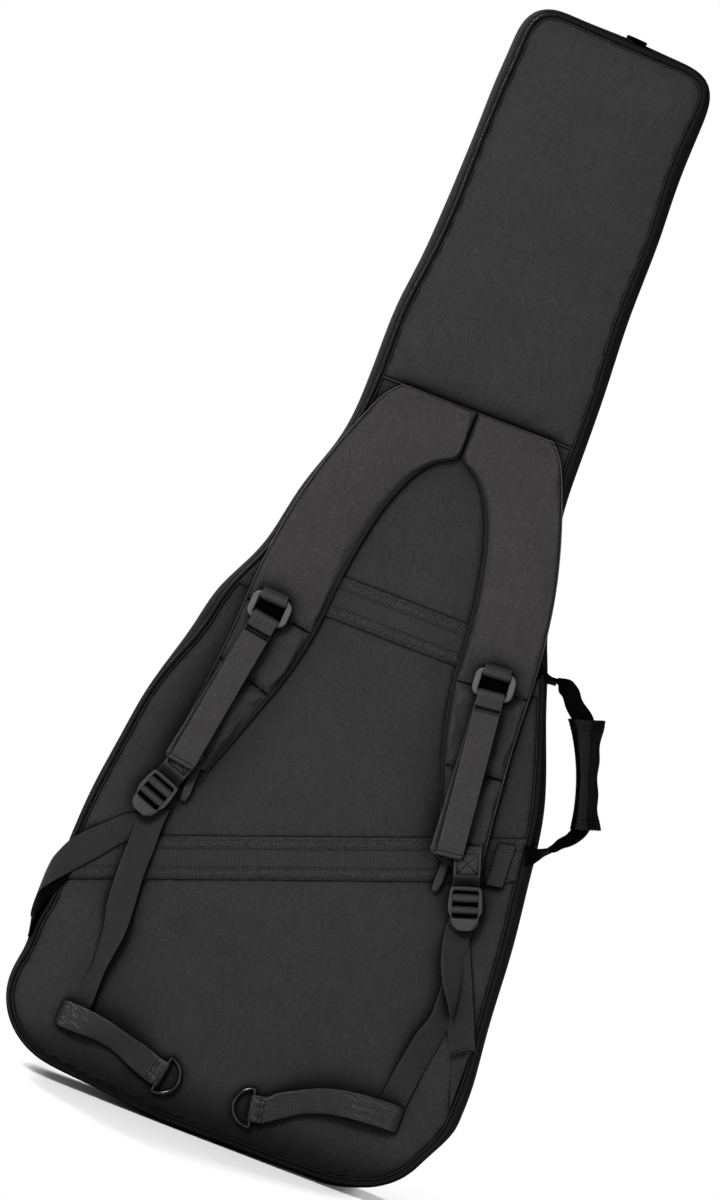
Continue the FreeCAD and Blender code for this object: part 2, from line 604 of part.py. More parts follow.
def ring_set(side):
    """Oval ring, its keeper on the pad and the webbing loop that hangs from it."""
    x, level, turn = f"{side}_ring_x", f"{side}_ring_level", f"{side}_ring_turn"
    depth = f"{PAD_FACE} - eye_outer"
    half_long, half_high = "ring_long / 2", "ring_high / 2"
    corners = [(half_long, half_high), (half_long, f"-{half_high}"), (f"-{half_long}", f"-{half_high}"),
               (f"-{half_long}", half_high)]
    hole_long, hole_high = "ring_long / 2 - ring_bar - ring_play", "ring_high / 2 - ring_bar"
    hole = [(hole_long, hole_high), (hole_long, f"-({hole_high})"), (f"-({hole_long})", f"-({hole_high})"),
            (f"-({hole_long})", hole_high)]
    ring = slab(f"{side}_oval", corners, "ring_thick", holes=[hole])
    round_corners(ring, corners, "ring_end_radius")
    soften(ring, "ring_edge", ("outer", "inner"))
    place(ring, x, f"{depth} + ring_thick / 2", level, turn)
    keep(ring, f"{side}_ring")

    reach = "ring_high / 2 - ring_bar / 2"
    span = ("-web_wide / 2", "web_wide / 2")
    eye = rod(f"{side}_keeper_eye", "eye_outer", span, "0", reach)
    plate = block(f"{side}_keeper_plate", span, ("eye_outer - web_thick", "eye_outer"),
                  (reach, f"{reach} + eye_outer + keeper_rise"))
    hole = rod(f"{side}_keeper_bore", "eye_inner", ("-web_wide", "web_wide"), "0", reach)
    keeper = cut(f"{side}_keeper", fuse(f"{side}_keeper_whole", eye, plate), hole)
    place(keeper, x, depth, level, turn)
    keep(keeper, f"{side}_ring_keeper")

    eye = rod(f"{side}_loop_eye", "eye_outer", span, "0", f"-({reach})")
    band = block(f"{side}_loop_band", span, ("-loop_thick / 2", "loop_thick / 2"), ("-loop_long", "0"),
                 turn=f"{side}_loop_turn - {side}_ring_turn", about=("0", f"-({reach})"))
    hole = rod(f"{side}_loop_bore", "eye_inner", ("-web_wide", "web_wide"), "0", f"-({reach})")
    loop = cut(f"{side}_loop", fuse(f"{side}_loop_whole", eye, band), hole)
    place(loop, x, depth, level, turn)
    keep(loop, f"{side}_thumb_loop")


def lock_set(side):
    """Ladder lock and the webbing that ties its top bar to the pad's tip."""
    x, level, turn = f"{side}_lock_x", f"{side}_lock_level", f"{side}_lock_turn"
    half_wide, half_long = "lock_wide / 2", "lock_long / 2"
    corners = [(half_wide, half_long), (half_wide, f"-{half_long}"), (f"-{half_wide}", f"-{half_long}"),
               (f"-{half_wide}", half_long)]
    first = f"{half_long} - lock_top_bar"
    second = f"{first} - lock_slot - lock_mid_bar"
    slot_half = "lock_slot_wide / 2"
    slots = [[(slot_half, top), (slot_half, f"{top} - lock_slot"), (f"-{slot_half}", f"{top} - lock_slot"),
              (f"-{slot_half}", top)] for top in (first, second)]
    lock = slab(f"{side}_buckle", corners, "lock_thick", holes=slots)
    round_corners(lock, [corners[0], corners[3]], "lock_top_radius")
    round_corners(lock, [corners[1], corners[2]], "lock_tongue_radius")
    soften(lock, "lock_edge", ("outer", "inner"))
    place(lock, x, "-lock_offset + lock_thick / 2", level, turn)
    keep(lock, f"{side}_ladder_lock")

    bar = "lock_long / 2 - lock_top_bar / 2"
    span = ("-web_wide / 2", "web_wide / 2")
    eye = rod(f"{side}_tie_eye", "eye_outer", span, "0", bar)
    band = block(f"{side}_tie_band", span,
                 (f"{PAD_FACE} - web_thick + lock_offset", f"{PAD_FACE} + lock_offset"),
                 (bar, f"{bar} + buckle_web_long"))
    hole = rod(f"{side}_tie_bore", "eye_inner", ("-web_wide", "web_wide"), "0", bar)
    tie = cut(f"{side}_tie", fuse(f"{side}_tie_whole", eye, band), hole)
    place(tie, x, "-lock_offset", level, turn)
    keep(tie, f"{side}_buckle_webbing")


# Outline of each tail: down from the ladder lock, folded at the bottom and back towards the middle.
TAILS = {
    "left": [(-163, 258), (-140, 250), (-133, 225), (-131, 152), (-135, 78), (-100, 69), (-62, 58),
             (-66, 32), (-100, 45), (-163, 51), (-155, 150), (-160, 210)],
    "right": [(145, 253), (168, 261), (177, 215), (176, 175), (166, 90), (165, 72), (140, 65), (100, 64),
              (47, 39), (42, 63), (70, 77), (100, 88), (140, 95), (150, 150), (154, 200)],
}


def tail_set(side, sign):
    """Tail webbing with the D-ring in its end eye. sign says which way the D opens."""
    x, level, turn = f"{side}_d_x", f"{side}_d_level", f"{side}_d_turn"
    flat = slab(f"{side}_tail_flat", [(str(a), str(b)) for a, b in TAILS[side]], "web_thick")
    place(flat, y="-tail_offset")
    depth = "-tail_offset - web_thick / 2"
    tube = {}
    for name, radius, length in (("eye", "d_eye", "d_eye_long"),
                                 ("bore", "d_wire + d_play", "3 * d_radius")):
        tube[name] = doc.addObject("Part::Cylinder", f"{side}_tail_{name}")
        bind(tube[name], Radius=radius, Height=length)
        lean = FreeCAD.Rotation(FreeCAD.Vector(0, 1, 0), value(turn))
        start = lean.multVec(FreeCAD.Vector(0, 0, -value(length) / 2))
        place(tube[name], f"{x} + ({start.x})", depth, f"{level} + ({start.z})", turn)
    reach = ("-bridge_far", "-bridge_near") if sign > 0 else ("bridge_near", "bridge_far")
    bridge = block(f"{side}_tail_bridge", reach,
                   ("-tail_offset - web_thick", "-tail_offset"), ("-d_eye_long / 2", "d_eye_long / 2"),
                   turn=turn, about=(x, level))
    whole = fuse(f"{side}_tail_whole", flat, bridge, tube["eye"])
    keep(cut(f"{side}_tail", whole, tube["bore"]), f"{side}_tail_webbing")

    bow = doc.addObject("Part::Torus", f"{side}_d_bow")
    bind(bow, Radius1="d_radius", Radius2="d_wire")
    bow.Angle3 = 180
    spin = FreeCAD.Rotation(FreeCAD.Vector(0, 1, 0), value(turn))
    upright = FreeCAD.Rotation(FreeCAD.Vector(1, 0, 0), 90)
    swing = FreeCAD.Rotation(FreeCAD.Vector(0, 0, 1), -90 if sign > 0 else 90)
    bow.Placement = FreeCAD.Placement(FreeCAD.Vector(), spin.multiply(upright).multiply(swing))
    bar = doc.addObject("Part::Cylinder", f"{side}_d_bar")
    bind(bar, Radius="d_wire", Height="2 * d_radius")
    start = spin.multVec(FreeCAD.Vector(0, 0, -value("d_radius")))
    bar.Placement = FreeCAD.Placement(start, spin)
    ring = fuse(f"{side}_d", bow, bar)
    place(ring, x, depth, level)
    keep(ring, f"{side}_d_ring")


rear_shell()
lid_shell()
bands()
anchors()
hang_loop()
inside_blocks()
zip_sliders()
pocket()
handle()
for strap_side, strap_sign in (("left", -1), ("right", 1)):
    shoulder_pad(strap_side, strap_sign)
    ring_set(strap_side)
    lock_set(strap_side)
    tail_set(strap_side, -strap_sign)

doc.recompute()

# ---------------------------------------------------------------- checks and export

for thing in doc.Objects:
    if "Invalid" in thing.State or "Error" in thing.State:
        raise RuntimeError(f"{thing.Name} ({thing.Label}) failed: {thing.State}")
for thing in NODES:
    if thing.Shape.isNull() or not thing.Shape.isValid() or thing.Shape.Volume <= 0:
        raise RuntimeError(f"{thing.Label} has no valid solid")
for thing in doc.Objects:
    if thing.TypeId == "PartDesign::Pocket" and not thing.Shape.Volume < thing.BaseFeature.Shape.Volume:
        raise RuntimeError(f"{thing.Name} removes nothing")

os.makedirs("parts", exist_ok=True)
for thing in NODES:
    thing.Shape.exportStep(f"parts/{thing.Label}.step")
print(len(NODES), "sub-parts written")
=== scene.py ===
"""Looks of a padded gig bag: fabric shells, straps, handle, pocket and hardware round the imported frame.

Lengths are millimetres in the bag's own frame (X across, Z up, -Y out of the strap side), and become
metres when a mesh is made. Places and sizes come from the frame's nodes and joints.
"""
import json
import math

import bpy
import numpy as np
from mathutils import Matrix, Vector


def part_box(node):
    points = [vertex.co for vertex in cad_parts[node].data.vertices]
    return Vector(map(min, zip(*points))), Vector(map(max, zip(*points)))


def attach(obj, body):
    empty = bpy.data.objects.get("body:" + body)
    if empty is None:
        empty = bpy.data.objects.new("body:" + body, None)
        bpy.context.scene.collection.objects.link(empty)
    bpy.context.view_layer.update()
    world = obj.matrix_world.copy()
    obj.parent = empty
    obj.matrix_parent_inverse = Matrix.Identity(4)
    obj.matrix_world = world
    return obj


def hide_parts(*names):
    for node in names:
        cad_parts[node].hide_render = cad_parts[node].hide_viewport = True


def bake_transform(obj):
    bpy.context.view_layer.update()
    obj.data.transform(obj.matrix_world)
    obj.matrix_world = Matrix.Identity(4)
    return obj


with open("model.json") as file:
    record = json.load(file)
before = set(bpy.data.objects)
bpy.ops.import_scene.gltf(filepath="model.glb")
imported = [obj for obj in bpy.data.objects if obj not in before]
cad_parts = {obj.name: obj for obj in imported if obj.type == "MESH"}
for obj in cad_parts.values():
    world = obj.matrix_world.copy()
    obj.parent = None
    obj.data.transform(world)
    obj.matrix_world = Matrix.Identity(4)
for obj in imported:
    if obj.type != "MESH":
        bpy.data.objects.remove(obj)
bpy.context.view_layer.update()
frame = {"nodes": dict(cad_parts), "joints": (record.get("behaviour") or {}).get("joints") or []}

MM = 0.001
PI = math.pi
OUT = np.array([0.0, -1.0, 0.0])           # out of the strap side
SIM_FRAMES = 20
CLOTH_STIFF, CLOTH_BEND = 15.0, 0.6
PANEL_PRESSURE, PAD_PRESSURE, POCKET_PRESSURE, BLOCK_PRESSURE = 2.5, 4.0, 1.5, 3.0

# Shell, from the outside in
SEAM_INSET = 8.0                           # edge of the panels, in from the silhouette
CORD = 1.7                                 # radius of the piping
LINING_INSET = 9.6
TOOTH_PITCH = 1.9
STITCH_LONG, STITCH_GAP, STITCH_RADIUS = 2.6, 1.5, 0.38
WEB = 25.0                                 # width of the strap webbing
WEB_THICK = 1.5
FOLD_SHADE_REACH, FOLD_SHADE_POWER = 60.0, 3.5           # reach and strength of the painted shade in folds and crevices
YARN_GRAIN = 0.3                           # how uneven the yarn's tone is


# ---------------------------------------------------------------- numbers

def ease(x, low, high):
    """Smooth step from 0 at low to 1 at high."""
    share = np.clip((np.asarray(x, float) - low) / (high - low), 0, 1)
    return share * share * (3 - 2 * share)


def bump(x, middle, half):
    """Smooth hill of height 1 about middle, nearly gone at twice half."""
    return np.exp(-((np.asarray(x, float) - middle) / half) ** 2)


def unit(vectors):
    vectors = np.asarray(vectors, float)
    return vectors / np.maximum(np.linalg.norm(vectors, axis=-1, keepdims=True), 1e-9)


def lengths_along(points):
    steps = np.linalg.norm(np.diff(np.asarray(points)[:, :3], axis=0), axis=1)
    return np.concatenate([[0.0], np.cumsum(steps)])


def at_lengths(spots, along, points):
    """Points at some distances along a chain whose corners lie at the distances along."""
    return np.stack([np.interp(spots, along, column) for column in np.asarray(points).T], axis=1)


def sample_line(points, count):
    """Points at even distances along a chain of straight pieces."""
    along = lengths_along(points)
    return at_lengths(np.linspace(0, along[-1], count), along, points)


def in_plane(line):
    """(x, z) rows as places with y = 0."""
    return np.insert(line, 1, 0, axis=1)


def full_turn(count):
    return np.linspace(0, 2 * PI, count, endpoint=False)


def bunched(count, strength):
    """Even shares from 0 to 1, drawn towards both ends."""
    share = np.linspace(0, 1, count)
    return share - strength / (2 * PI) * np.sin(2 * PI * share)


def curve_through(points, count):
    """Smooth curve through the given rows, sampled evenly. The first three columns are its place."""
    points = np.asarray(points, float)
    along = lengths_along(points)
    slopes = np.gradient(points, along, axis=0)
    spots = np.linspace(0, along[-1], count)
    i = np.clip(np.searchsorted(along, spots, side="right") - 1, 0, len(points) - 2)
    gap = (along[i + 1] - along[i])[:, None]
    s = (spots - along[i])[:, None] / gap
    return ((1 + 2 * s) * (1 - s) ** 2 * points[i] + s * (1 - s) ** 2 * gap * slopes[i]
            + s * s * (3 - 2 * s) * points[i + 1] + s * s * (s - 1) * gap * slopes[i + 1])


def ripple(x, z, seed, wave):
    """Gentle uneven surface between -1 and 1, the same on each run."""
    draw = np.random.RandomState(seed)
    total = np.zeros(np.broadcast(x, z).shape)
    for _ in range(7):
        angle, phase, scale = draw.uniform(0, PI), draw.uniform(0, 2 * PI), draw.uniform(0.6, 1.7)
        total = total + np.sin((x * math.cos(angle) + z * math.sin(angle)) * scale * 2 * PI / wave + phase)
    return total / 4.0


def fair(points, spread, closed=True):
    """Rounds a chain of points off by a Gaussian whose spread is in samples."""
    reach = int(3 * spread) + 1
    weights = np.exp(-0.5 * (np.arange(-reach, reach + 1) / spread) ** 2)
    weights /= weights.sum()
    mode = "wrap" if closed else "edge"
    padded = np.pad(points, ((reach, reach), (0, 0)), mode=mode)
    result = sum(w * padded[i:i + len(points)] for i, w in enumerate(weights))
    if not closed:
        result[0], result[-1] = points[0], points[-1]
    return result


# ---------------------------------------------------------------- what the frame says

def vertex_rows(mesh, what="co"):
    flat = np.zeros(len(mesh.vertices) * 3)
    mesh.vertices.foreach_get(what, flat)
    return flat.reshape(-1, 3)


def node_points(node):
    return vertex_rows(frame["nodes"][node].data) / MM


def node_box(node):
    low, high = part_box(node)
    return np.array(low) / MM, np.array(high) / MM


def face_outline(node, side):
    """Outline (x, z) of a node's flat face on the -Y side (side -1) or the +Y side (side 1)."""
    points = node_points(node)
    level = side * (side * points[:, 1]).max()
    used = {}
    for polygon in frame["nodes"][node].data.polygons:
        corners = [tuple(np.round(points[v], 2)) for v in polygon.vertices]
        if all(abs(c[1] - level) < 0.05 for c in corners):
            for a, b in zip(corners, corners[1:] + corners[:1]):
                if (b, a) in used:
                    del used[(b, a)]
                else:
                    used[(a, b)] = True
    following = {a: b for a, b in used}
    start = min(following)
    chain = [start]
    while following[chain[-1]] != start:
        chain.append(following[chain[-1]])
    loop = np.array([(c[0], c[2]) for c in chain])
    area = np.sum(loop[:, 0] * np.roll(loop[:, 1], -1) - loop[:, 1] * np.roll(loop[:, 0], -1))
    return loop if area > 0 else loop[::-1]


JOINTS = {joint["name"]: joint for joint in frame["joints"]}


def hinge_point(joint):
    return np.array(JOINTS[joint]["pos_m"]) / MM


class Spot:
    """A flat frame on the strap side: across runs to the right, up runs upwards, out is -Y."""

    def __init__(self, origin, across):
        self.origin = np.asarray(origin, float)
        self.across = unit(across)
        self.up = np.array([-self.across[2], 0.0, self.across[0]])

    def at(self, across, up, out=0.0):
        across, up, out = np.broadcast_arrays(np.asarray(across, float), up, out)
        return (self.origin + across[..., None] * self.across + up[..., None] * self.up
                + out[..., None] * OUT)


def hinge_spot(joint, turn=0.0):
    """Spot at a buckle's hinge, lined up with its bar and turned by some degrees."""
    axis = np.array(JOINTS[joint]["axis"])
    across = axis if axis[0] > 0 else -axis
    c, s = math.cos(math.radians(turn)), math.sin(math.radians(turn))
    across = np.array([across[0] * c - across[2] * s, 0, across[0] * s + across[2] * c])
    return Spot(hinge_point(joint), across)


class Edge:
    """A closed outline in the XZ plane with its outward normals. base is its inset from the silhouette."""

    def __init__(self, loop, base, count, spread):
        even = sample_line(np.vstack([loop, loop[:1]]), count + 1)[:-1]
        start = np.argmin(np.abs(even[:, 0]) + even[:, 1] - even[:, 1].min())
        self.points = fair(np.roll(even, -start, axis=0), spread)
        tangent = unit(np.roll(self.points, -1, axis=0) - np.roll(self.points, 1, axis=0))
        self.normals = np.stack([tangent[:, 1], -tangent[:, 0]], axis=1)
        self.base = base
        self.along = lengths_along(in_plane(np.vstack([self.points, self.points[:1]])))

    def inset(self, distance):
        """Outline moved in from the silhouette by a distance, one number or one for each point."""
        shift = np.broadcast_to(self.base - np.asarray(distance, float), len(self.points))
        return self.points + self.normals * shift[:, None]


# ---------------------------------------------------------------- mesh building

class Shape:
    """Vertices, faces, texture coordinates in millimetres for each face corner, and a material index."""

    def __init__(self):
        self.verts, self.faces, self.uvs, self.kinds = [], [], [], []
        self.count = 0

    def add(self, verts, faces, uvs=None, kinds=0):
        verts = np.asarray(verts, float).reshape(-1, 3)
        if uvs is None:
            uvs = [[(verts[v][0] + verts[v][1], verts[v][2]) for v in face] for face in faces]
        self.verts.append(verts)
        self.faces += [tuple(int(v) + self.count for v in face) for face in faces]
        self.uvs += uvs
        self.kinds += [kinds] * len(faces) if np.isscalar(kinds) else list(kinds)
        self.count += len(verts)
        return self


def loft(shape, rings, path_closed=False, kinds=0):
    """Skin over closed sections: rings is (stations, points round the section, 3)."""
    rings = np.asarray(rings, float)
    stations, around = rings.shape[:2]
    steps = np.linalg.norm(np.diff(rings, axis=0, append=rings[:1]), axis=2).mean(axis=1)
    u = np.concatenate([[0], np.cumsum(steps)])
    v = lengths_along(np.vstack([rings[0], rings[0][:1]]))
    v = v - v[-1] / 4
    faces, uvs, marks = [], [], []
    for i in range(stations if path_closed else stations - 1):
        i2 = (i + 1) % stations
        for j in range(around):
            j2 = (j + 1) % around
            faces.append((i * around + j, i2 * around + j, i2 * around + j2, i * around + j2))
            uvs.append([(u[i], v[j]), (u[i + 1], v[j]), (u[i + 1], v[j + 1]), (u[i], v[j + 1])])
            marks.append(kinds if np.isscalar(kinds) else kinds[j])
    if not path_closed:
        for ring, order in ((0, 1), (stations - 1, -1)):
            faces.append(tuple(ring * around + j for j in range(around))[::order])
            uvs.append([(0.0, 0.0)] * around)
            marks.append(marks[0])
    return shape.add(rings.reshape(-1, 3), faces, uvs, marks)


def solid_between(shape, front, back, hole=None, kinds=(0, 1), uv=None):
    """Closed solid between two grids of the same size. hole marks the cells that are left open."""
    rows, cols = front.shape[:2]
    index = np.arange(rows * cols).reshape(rows, cols)
    far = rows * cols
    if uv is None:
        uv = front[:, :, [0, 2]]
    flat_uv = uv.reshape(-1, 2)
    faces, uvs, marks, rim = [], [], [], {}
    for i in range(rows - 1):
        for j in range(cols - 1):
            if hole is not None and hole[i, j]:
                continue
            quad = (index[i, j], index[i, j + 1], index[i + 1, j + 1], index[i + 1, j])
            faces.append(quad)
            marks.append(kinds[0])
            faces.append(tuple(v + far for v in reversed(quad)))
            marks.append(kinds[1])
            uvs.append([tuple(flat_uv[v]) for v in quad])
            uvs.append([tuple(flat_uv[v]) for v in reversed(quad)])
            for a, b in zip(quad, quad[1:] + quad[:1]):
                if (b, a) in rim:
                    del rim[(b, a)]
                else:
                    rim[(a, b)] = True
    for a, b in rim:
        faces.append((b, a, a + far, b + far))
        marks.append(kinds[0])
        uvs.append([tuple(flat_uv[b]), tuple(flat_uv[a]), tuple(flat_uv[a]), tuple(flat_uv[b])])
    return shape.add(np.concatenate([front.reshape(-1, 3), back.reshape(-1, 3)]), faces, uvs, marks)


def tube(shape, path, radius, closed=False, sides=10, kinds=0):
    """Round cord along a path. radius is one number or one for each point."""
    path = np.asarray(path, float)
    if closed:
        tangent = unit(np.roll(path, -1, axis=0) - np.roll(path, 1, axis=0))
    else:
        tangent = unit(np.gradient(path, axis=0))
    reference = np.where(np.abs(tangent[:, 1:2]) > 0.9, [[1.0, 0, 0]], [[0, 1.0, 0]])
    side = unit(np.cross(tangent, reference))
    other = np.cross(tangent, side)
    angle = full_turn(sides)
    radius = np.broadcast_to(np.asarray(radius, float), len(path))[:, None, None]
    rings = path[:, None] + radius * (np.cos(angle)[None, :, None] * side[:, None]
                                      + np.sin(angle)[None, :, None] * other[:, None])
    return loft(shape, rings, path_closed=closed, kinds=kinds)


def ribbon(shape, centres, halves, thick=WEB_THICK, count=60, kinds=0):
    """Webbing through control points. halves are vectors from the centre line to one edge."""
    rows = curve_through(np.hstack([np.asarray(centres, float), np.asarray(halves, float)]), count)
    centre, half = rows[:, :3], rows[:, 3:]
    normal = unit(np.cross(unit(np.gradient(centre, axis=0)), half))
    spots = np.sin(np.linspace(-PI / 2, PI / 2, 11))
    height = 0.5 * thick * np.sqrt(1 - np.abs(spots) ** 6)
    a = np.concatenate([spots, spots[-2:0:-1]])
    lift = np.concatenate([height, -height[-2:0:-1]])
    rings = centre[:, None] + half[:, None] * a[None, :, None] + normal[:, None] * lift[None, :, None]
    return loft(shape, rings, kinds=kinds)


def stitches(shape, path, away, long=STITCH_LONG, gap=STITCH_GAP, radius=STITCH_RADIUS):
    """Row of short threads lying along a path. away points out of the cloth."""
    path = np.asarray(path, float)
    along = lengths_along(path)
    number = max(1, int((along[-1] + gap) / (long + gap)))
    away = np.broadcast_to(np.asarray(away, float), path.shape)
    shares = np.array([0.0, 0.18, 0.5, 0.82, 1.0])
    swell = np.array([0.45, 0.9, 1.0, 0.9, 0.45])
    angle = full_turn(6)
    for start in np.arange(number) * (long + gap):
        spots = start + shares * long
        place = at_lengths(spots, along, path)
        up = unit(at_lengths(spots, along, away))
        run = unit(place[-1] - place[0])
        side = unit(np.cross(np.broadcast_to(run, up.shape), up))
        loft(shape, place[:, None] + (radius * swell)[:, None, None]
             * (np.cos(angle)[None, :, None] * side[:, None] + np.sin(angle)[None, :, None] * up[:, None]))


def put(name, data):
    """New object in the scene."""
    thing = bpy.data.objects.new(name, data)
    bpy.context.scene.collection.objects.link(thing)
    return thing


def finish_piece(name, shape, body, materials, replaces=()):
    """Turns a Shape into an object that rides on a body, if one is given, and stands for some CAD nodes."""
    mesh = bpy.data.meshes.new(name)
    verts = np.concatenate(shape.verts) * MM
    mesh.from_pydata(verts.tolist(), [], shape.faces)
    layer = mesh.uv_layers.new(name="cloth")
    flat = np.array([value for face in shape.uvs for corner in face for value in corner], np.float32)
    layer.data.foreach_set("uv", flat)
    for material in materials:
        mesh.materials.append(material)
    mesh.polygons.foreach_set("material_index", np.array(shape.kinds, np.int32))
    mesh.polygons.foreach_set("use_smooth", np.full(len(mesh.polygons), True))
    mesh.update()
    piece = put(name, mesh)
    if body:
        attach(piece, body)
    if replaces:
        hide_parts(*replaces)
    return piece


def subdivide(piece):
    smoothing = piece.modifiers.new("Subdivision", "SUBSURF")
    smoothing.levels = smoothing.render_levels = 1


def plump(shape, pinned, pressure, limit, swell):
    """Puffs a Shape up by cloth simulation and caps how far each point moves. Returns its new points."""
    verts = np.concatenate(shape.verts)
    mesh = bpy.data.meshes.new("puff")
    mesh.from_pydata((verts * MM).tolist(), [], shape.faces)
    thing = put("puff", mesh)
    group = thing.vertex_groups.new(name="sewn")
    group.add([int(i) for i in np.flatnonzero(pinned)], 1.0, "REPLACE")
    cloth = thing.modifiers.new("Cloth", "CLOTH")
    settings = cloth.settings
    settings.vertex_group_mass = "sewn"
    settings.use_pressure = True
    settings.uniform_pressure_force = pressure
    settings.tension_stiffness = settings.compression_stiffness = CLOTH_STIFF
    settings.bending_stiffness = CLOTH_BEND
    settings.shrink_min = -swell
    settings.effector_weights.gravity = 0.0
    cloth.point_cache.frame_start = 1
    cloth.point_cache.frame_end = SIM_FRAMES
    scene = bpy.context.scene
    for number in range(1, SIM_FRAMES + 1):
        scene.frame_set(number)
    after = thing.evaluated_get(bpy.context.evaluated_depsgraph_get()).data
    move = vertex_rows(after) / MM - verts
    bpy.data.objects.remove(thing)
    scene.frame_set(1)
    size = np.linalg.norm(move, axis=1, keepdims=True)
    limit = np.broadcast_to(np.asarray(limit, float), len(verts))[:, None]
    return verts + move * (limit * np.tanh(size / np.maximum(limit, 1e-6)) / np.maximum(size, 1e-9))


# ---------------------------------------------------------------- materials

class Value:
    """A number in a material. Arithmetic on it adds Math nodes."""

    def __init__(self, nodes, socket):
        self.nodes, self.socket = nodes, socket

    def __add__(self, other):
        return self.nodes.maths("ADD", self, other)

    def __sub__(self, other):
        return self.nodes.maths("SUBTRACT", self, other)

    def __rsub__(self, other):
        return self.nodes.maths("SUBTRACT", other, self)

    def __mul__(self, other):
        return self.nodes.maths("MULTIPLY", self, other)

    def __truediv__(self, other):
        return self.nodes.maths("DIVIDE", self, other)

    def __mod__(self, other):
        return self.nodes.maths("FLOORED_MODULO", self, other)

    def __pow__(self, other):
        return self.nodes.maths("POWER", self, other)

    def __abs__(self):
        return self.nodes.maths("ABSOLUTE", self)

    def spread(self, low, high):
        """Maps 0..1 to low..high."""
        return self.nodes.out("MapRange", "Result", {"Value": self, "To Min": low, "To Max": high})

    def band(self, low, high, edge):
        """1 between low and high, with soft ends."""
        rise, fall = (self.nodes.out("MapRange", "Result", {"Value": self, "From Min": start, "From Max": end})
                      for start, end in ((low - edge, low + edge), (high + edge, high - edge)))
        return rise * fall


class Nodes:
    """The node tree of a material or of the world, with short ways to add and join its nodes."""

    def __init__(self, block, turn_shade=0.45):
        self.turn_shade = turn_shade                      # how much painted shade darkens the material where it turns away from the view
        self.block = block
        block.use_nodes = True
        self.tree = block.node_tree
        self.tree.nodes.clear()

    def feed(self, socket, value):
        if isinstance(value, Value):
            self.tree.links.new(value.socket, socket)
        else:
            socket.default_value = value

    def add(self, kind, inputs=None, **settings):
        node = self.tree.nodes.new("ShaderNode" + kind)
        for key, value in settings.items():
            setattr(node, key, value)
        for key, value in (inputs or {}).items():
            self.feed(node.inputs[key], value)
        return node

    def out(self, kind, output, inputs=None, **settings):
        """Adds a node and gives one of its outputs."""
        return Value(self, self.add(kind, inputs, **settings).outputs[output])

    def maths(self, operation, *values):
        node = self.add("Math", operation=operation)
        for socket, value in zip(node.inputs, (values + (0.0, 0.0))[:3]):
            self.feed(socket, value)
        return Value(self, node.outputs[0])

    def noise(self, vector, scale, detail=2.0, rough=0.5):
        return self.out("TexNoise", "Fac",
                        {"Vector": vector, "Scale": scale, "Detail": detail, "Roughness": rough})

    def stretched(self, *scale):
        """The object's own coordinates, scaled along each axis."""
        return self.out("Mapping", "Vector", {"Vector": self.place(), "Scale": scale})

    def cloth_uv(self):
        """The cloth's own directions in millimetres: (along, across)."""
        split = self.add("SeparateXYZ", {"Vector": self.out("UVMap", "UV", uv_map="cloth")})
        return Value(self, split.outputs["X"]), Value(self, split.outputs["Y"])

    def place(self):
        return self.out("TexCoord", "Object")

    def zigzag(self, value, period):
        """Triangle wave from 0 to half the period."""
        return abs(value % period - period / 2)

    def weave(self, u, v, pitch_u, pitch_v, lean=0.0):
        """Height of a plain weave. lean slants the threads' crossings for a twill."""
        a, b = u / pitch_u, v / pitch_v
        a = a + b * lean
        over = (self.maths("FLOOR", a) + self.maths("FLOOR", b)) % 2
        hump_a, hump_b = (self.maths("SINE", self.maths("FRACT", c) * PI) for c in (a, b))
        return self.out("Mix", "Result", {"Factor": over, "A": hump_a, "B": hump_b}, data_type="FLOAT")

    def wear(self):
        """1 on edges that stand proud, where cloth rubs, broken up by noise."""
        proud = {"Value": self.out("NewGeometry", "Pointiness"), "From Min": 0.52, "From Max": 0.62}
        return self.out("MapRange", "Result", proud) * self.noise(self.place(), 90.0, 3.0)

    def tone(self, colour, shade):
        """Colour times a shade, with painted shade in the folds and crevices and where the surface turns away
        from the view, as a colour.
        """
        # painted shade: ambient occlusion darkens folds and crevices, and the facing term darkens surfaces that
        # turn away from the view
        fold_shade = self.out("AmbientOcclusion", "AO", {"Distance": FOLD_SHADE_REACH * MM}, samples=6)
        facing = self.out("LayerWeight", "Facing", {"Blend": 0.5})
        shade = shade * fold_shade ** FOLD_SHADE_POWER * (1.0 - facing) ** self.turn_shade
        grey = self.out("CombineColor", "Color", {"Red": shade, "Green": shade, "Blue": shade})
        return self.out("Mix", "Result", {"Factor": 1.0, "A": (*colour, 1.0), "B": grey},
                        data_type="RGBA", blend_type="MULTIPLY")

    def for_camera(self, share, plain, seen):
        """One shader for the lighting, and another that the camera sees, in full or by a share."""
        camera = self.out("LightPath", "Is Camera Ray")
        share = camera if share is None else share * camera
        return self.out("MixShader", "Shader", {"Fac": share, 1: plain, 2: seen})

    def surface(self, colour, rough, height, depth, strength, **inputs):
        """Principled surface with a bump of some depth in millimetres."""
        settings = {"Base Color": colour, "Roughness": rough,
                    "Normal": self.out("Bump", "Normal", {"Height": height, "Strength": strength,
                                                          "Distance": depth * MM})}
        settings.update({key.replace("_", " "): value for key, value in inputs.items()})
        self.add("OutputMaterial", {"Surface": self.out("BsdfPrincipled", "BSDF", settings)})
        return self.block


def speckled(n, place, scale, grain):
    """Uneven yarn: light and dark specks."""
    return n.noise(place, scale, 2.0, 0.75).spread(1 - 1.7 * grain, 1 + 1.7 * grain)


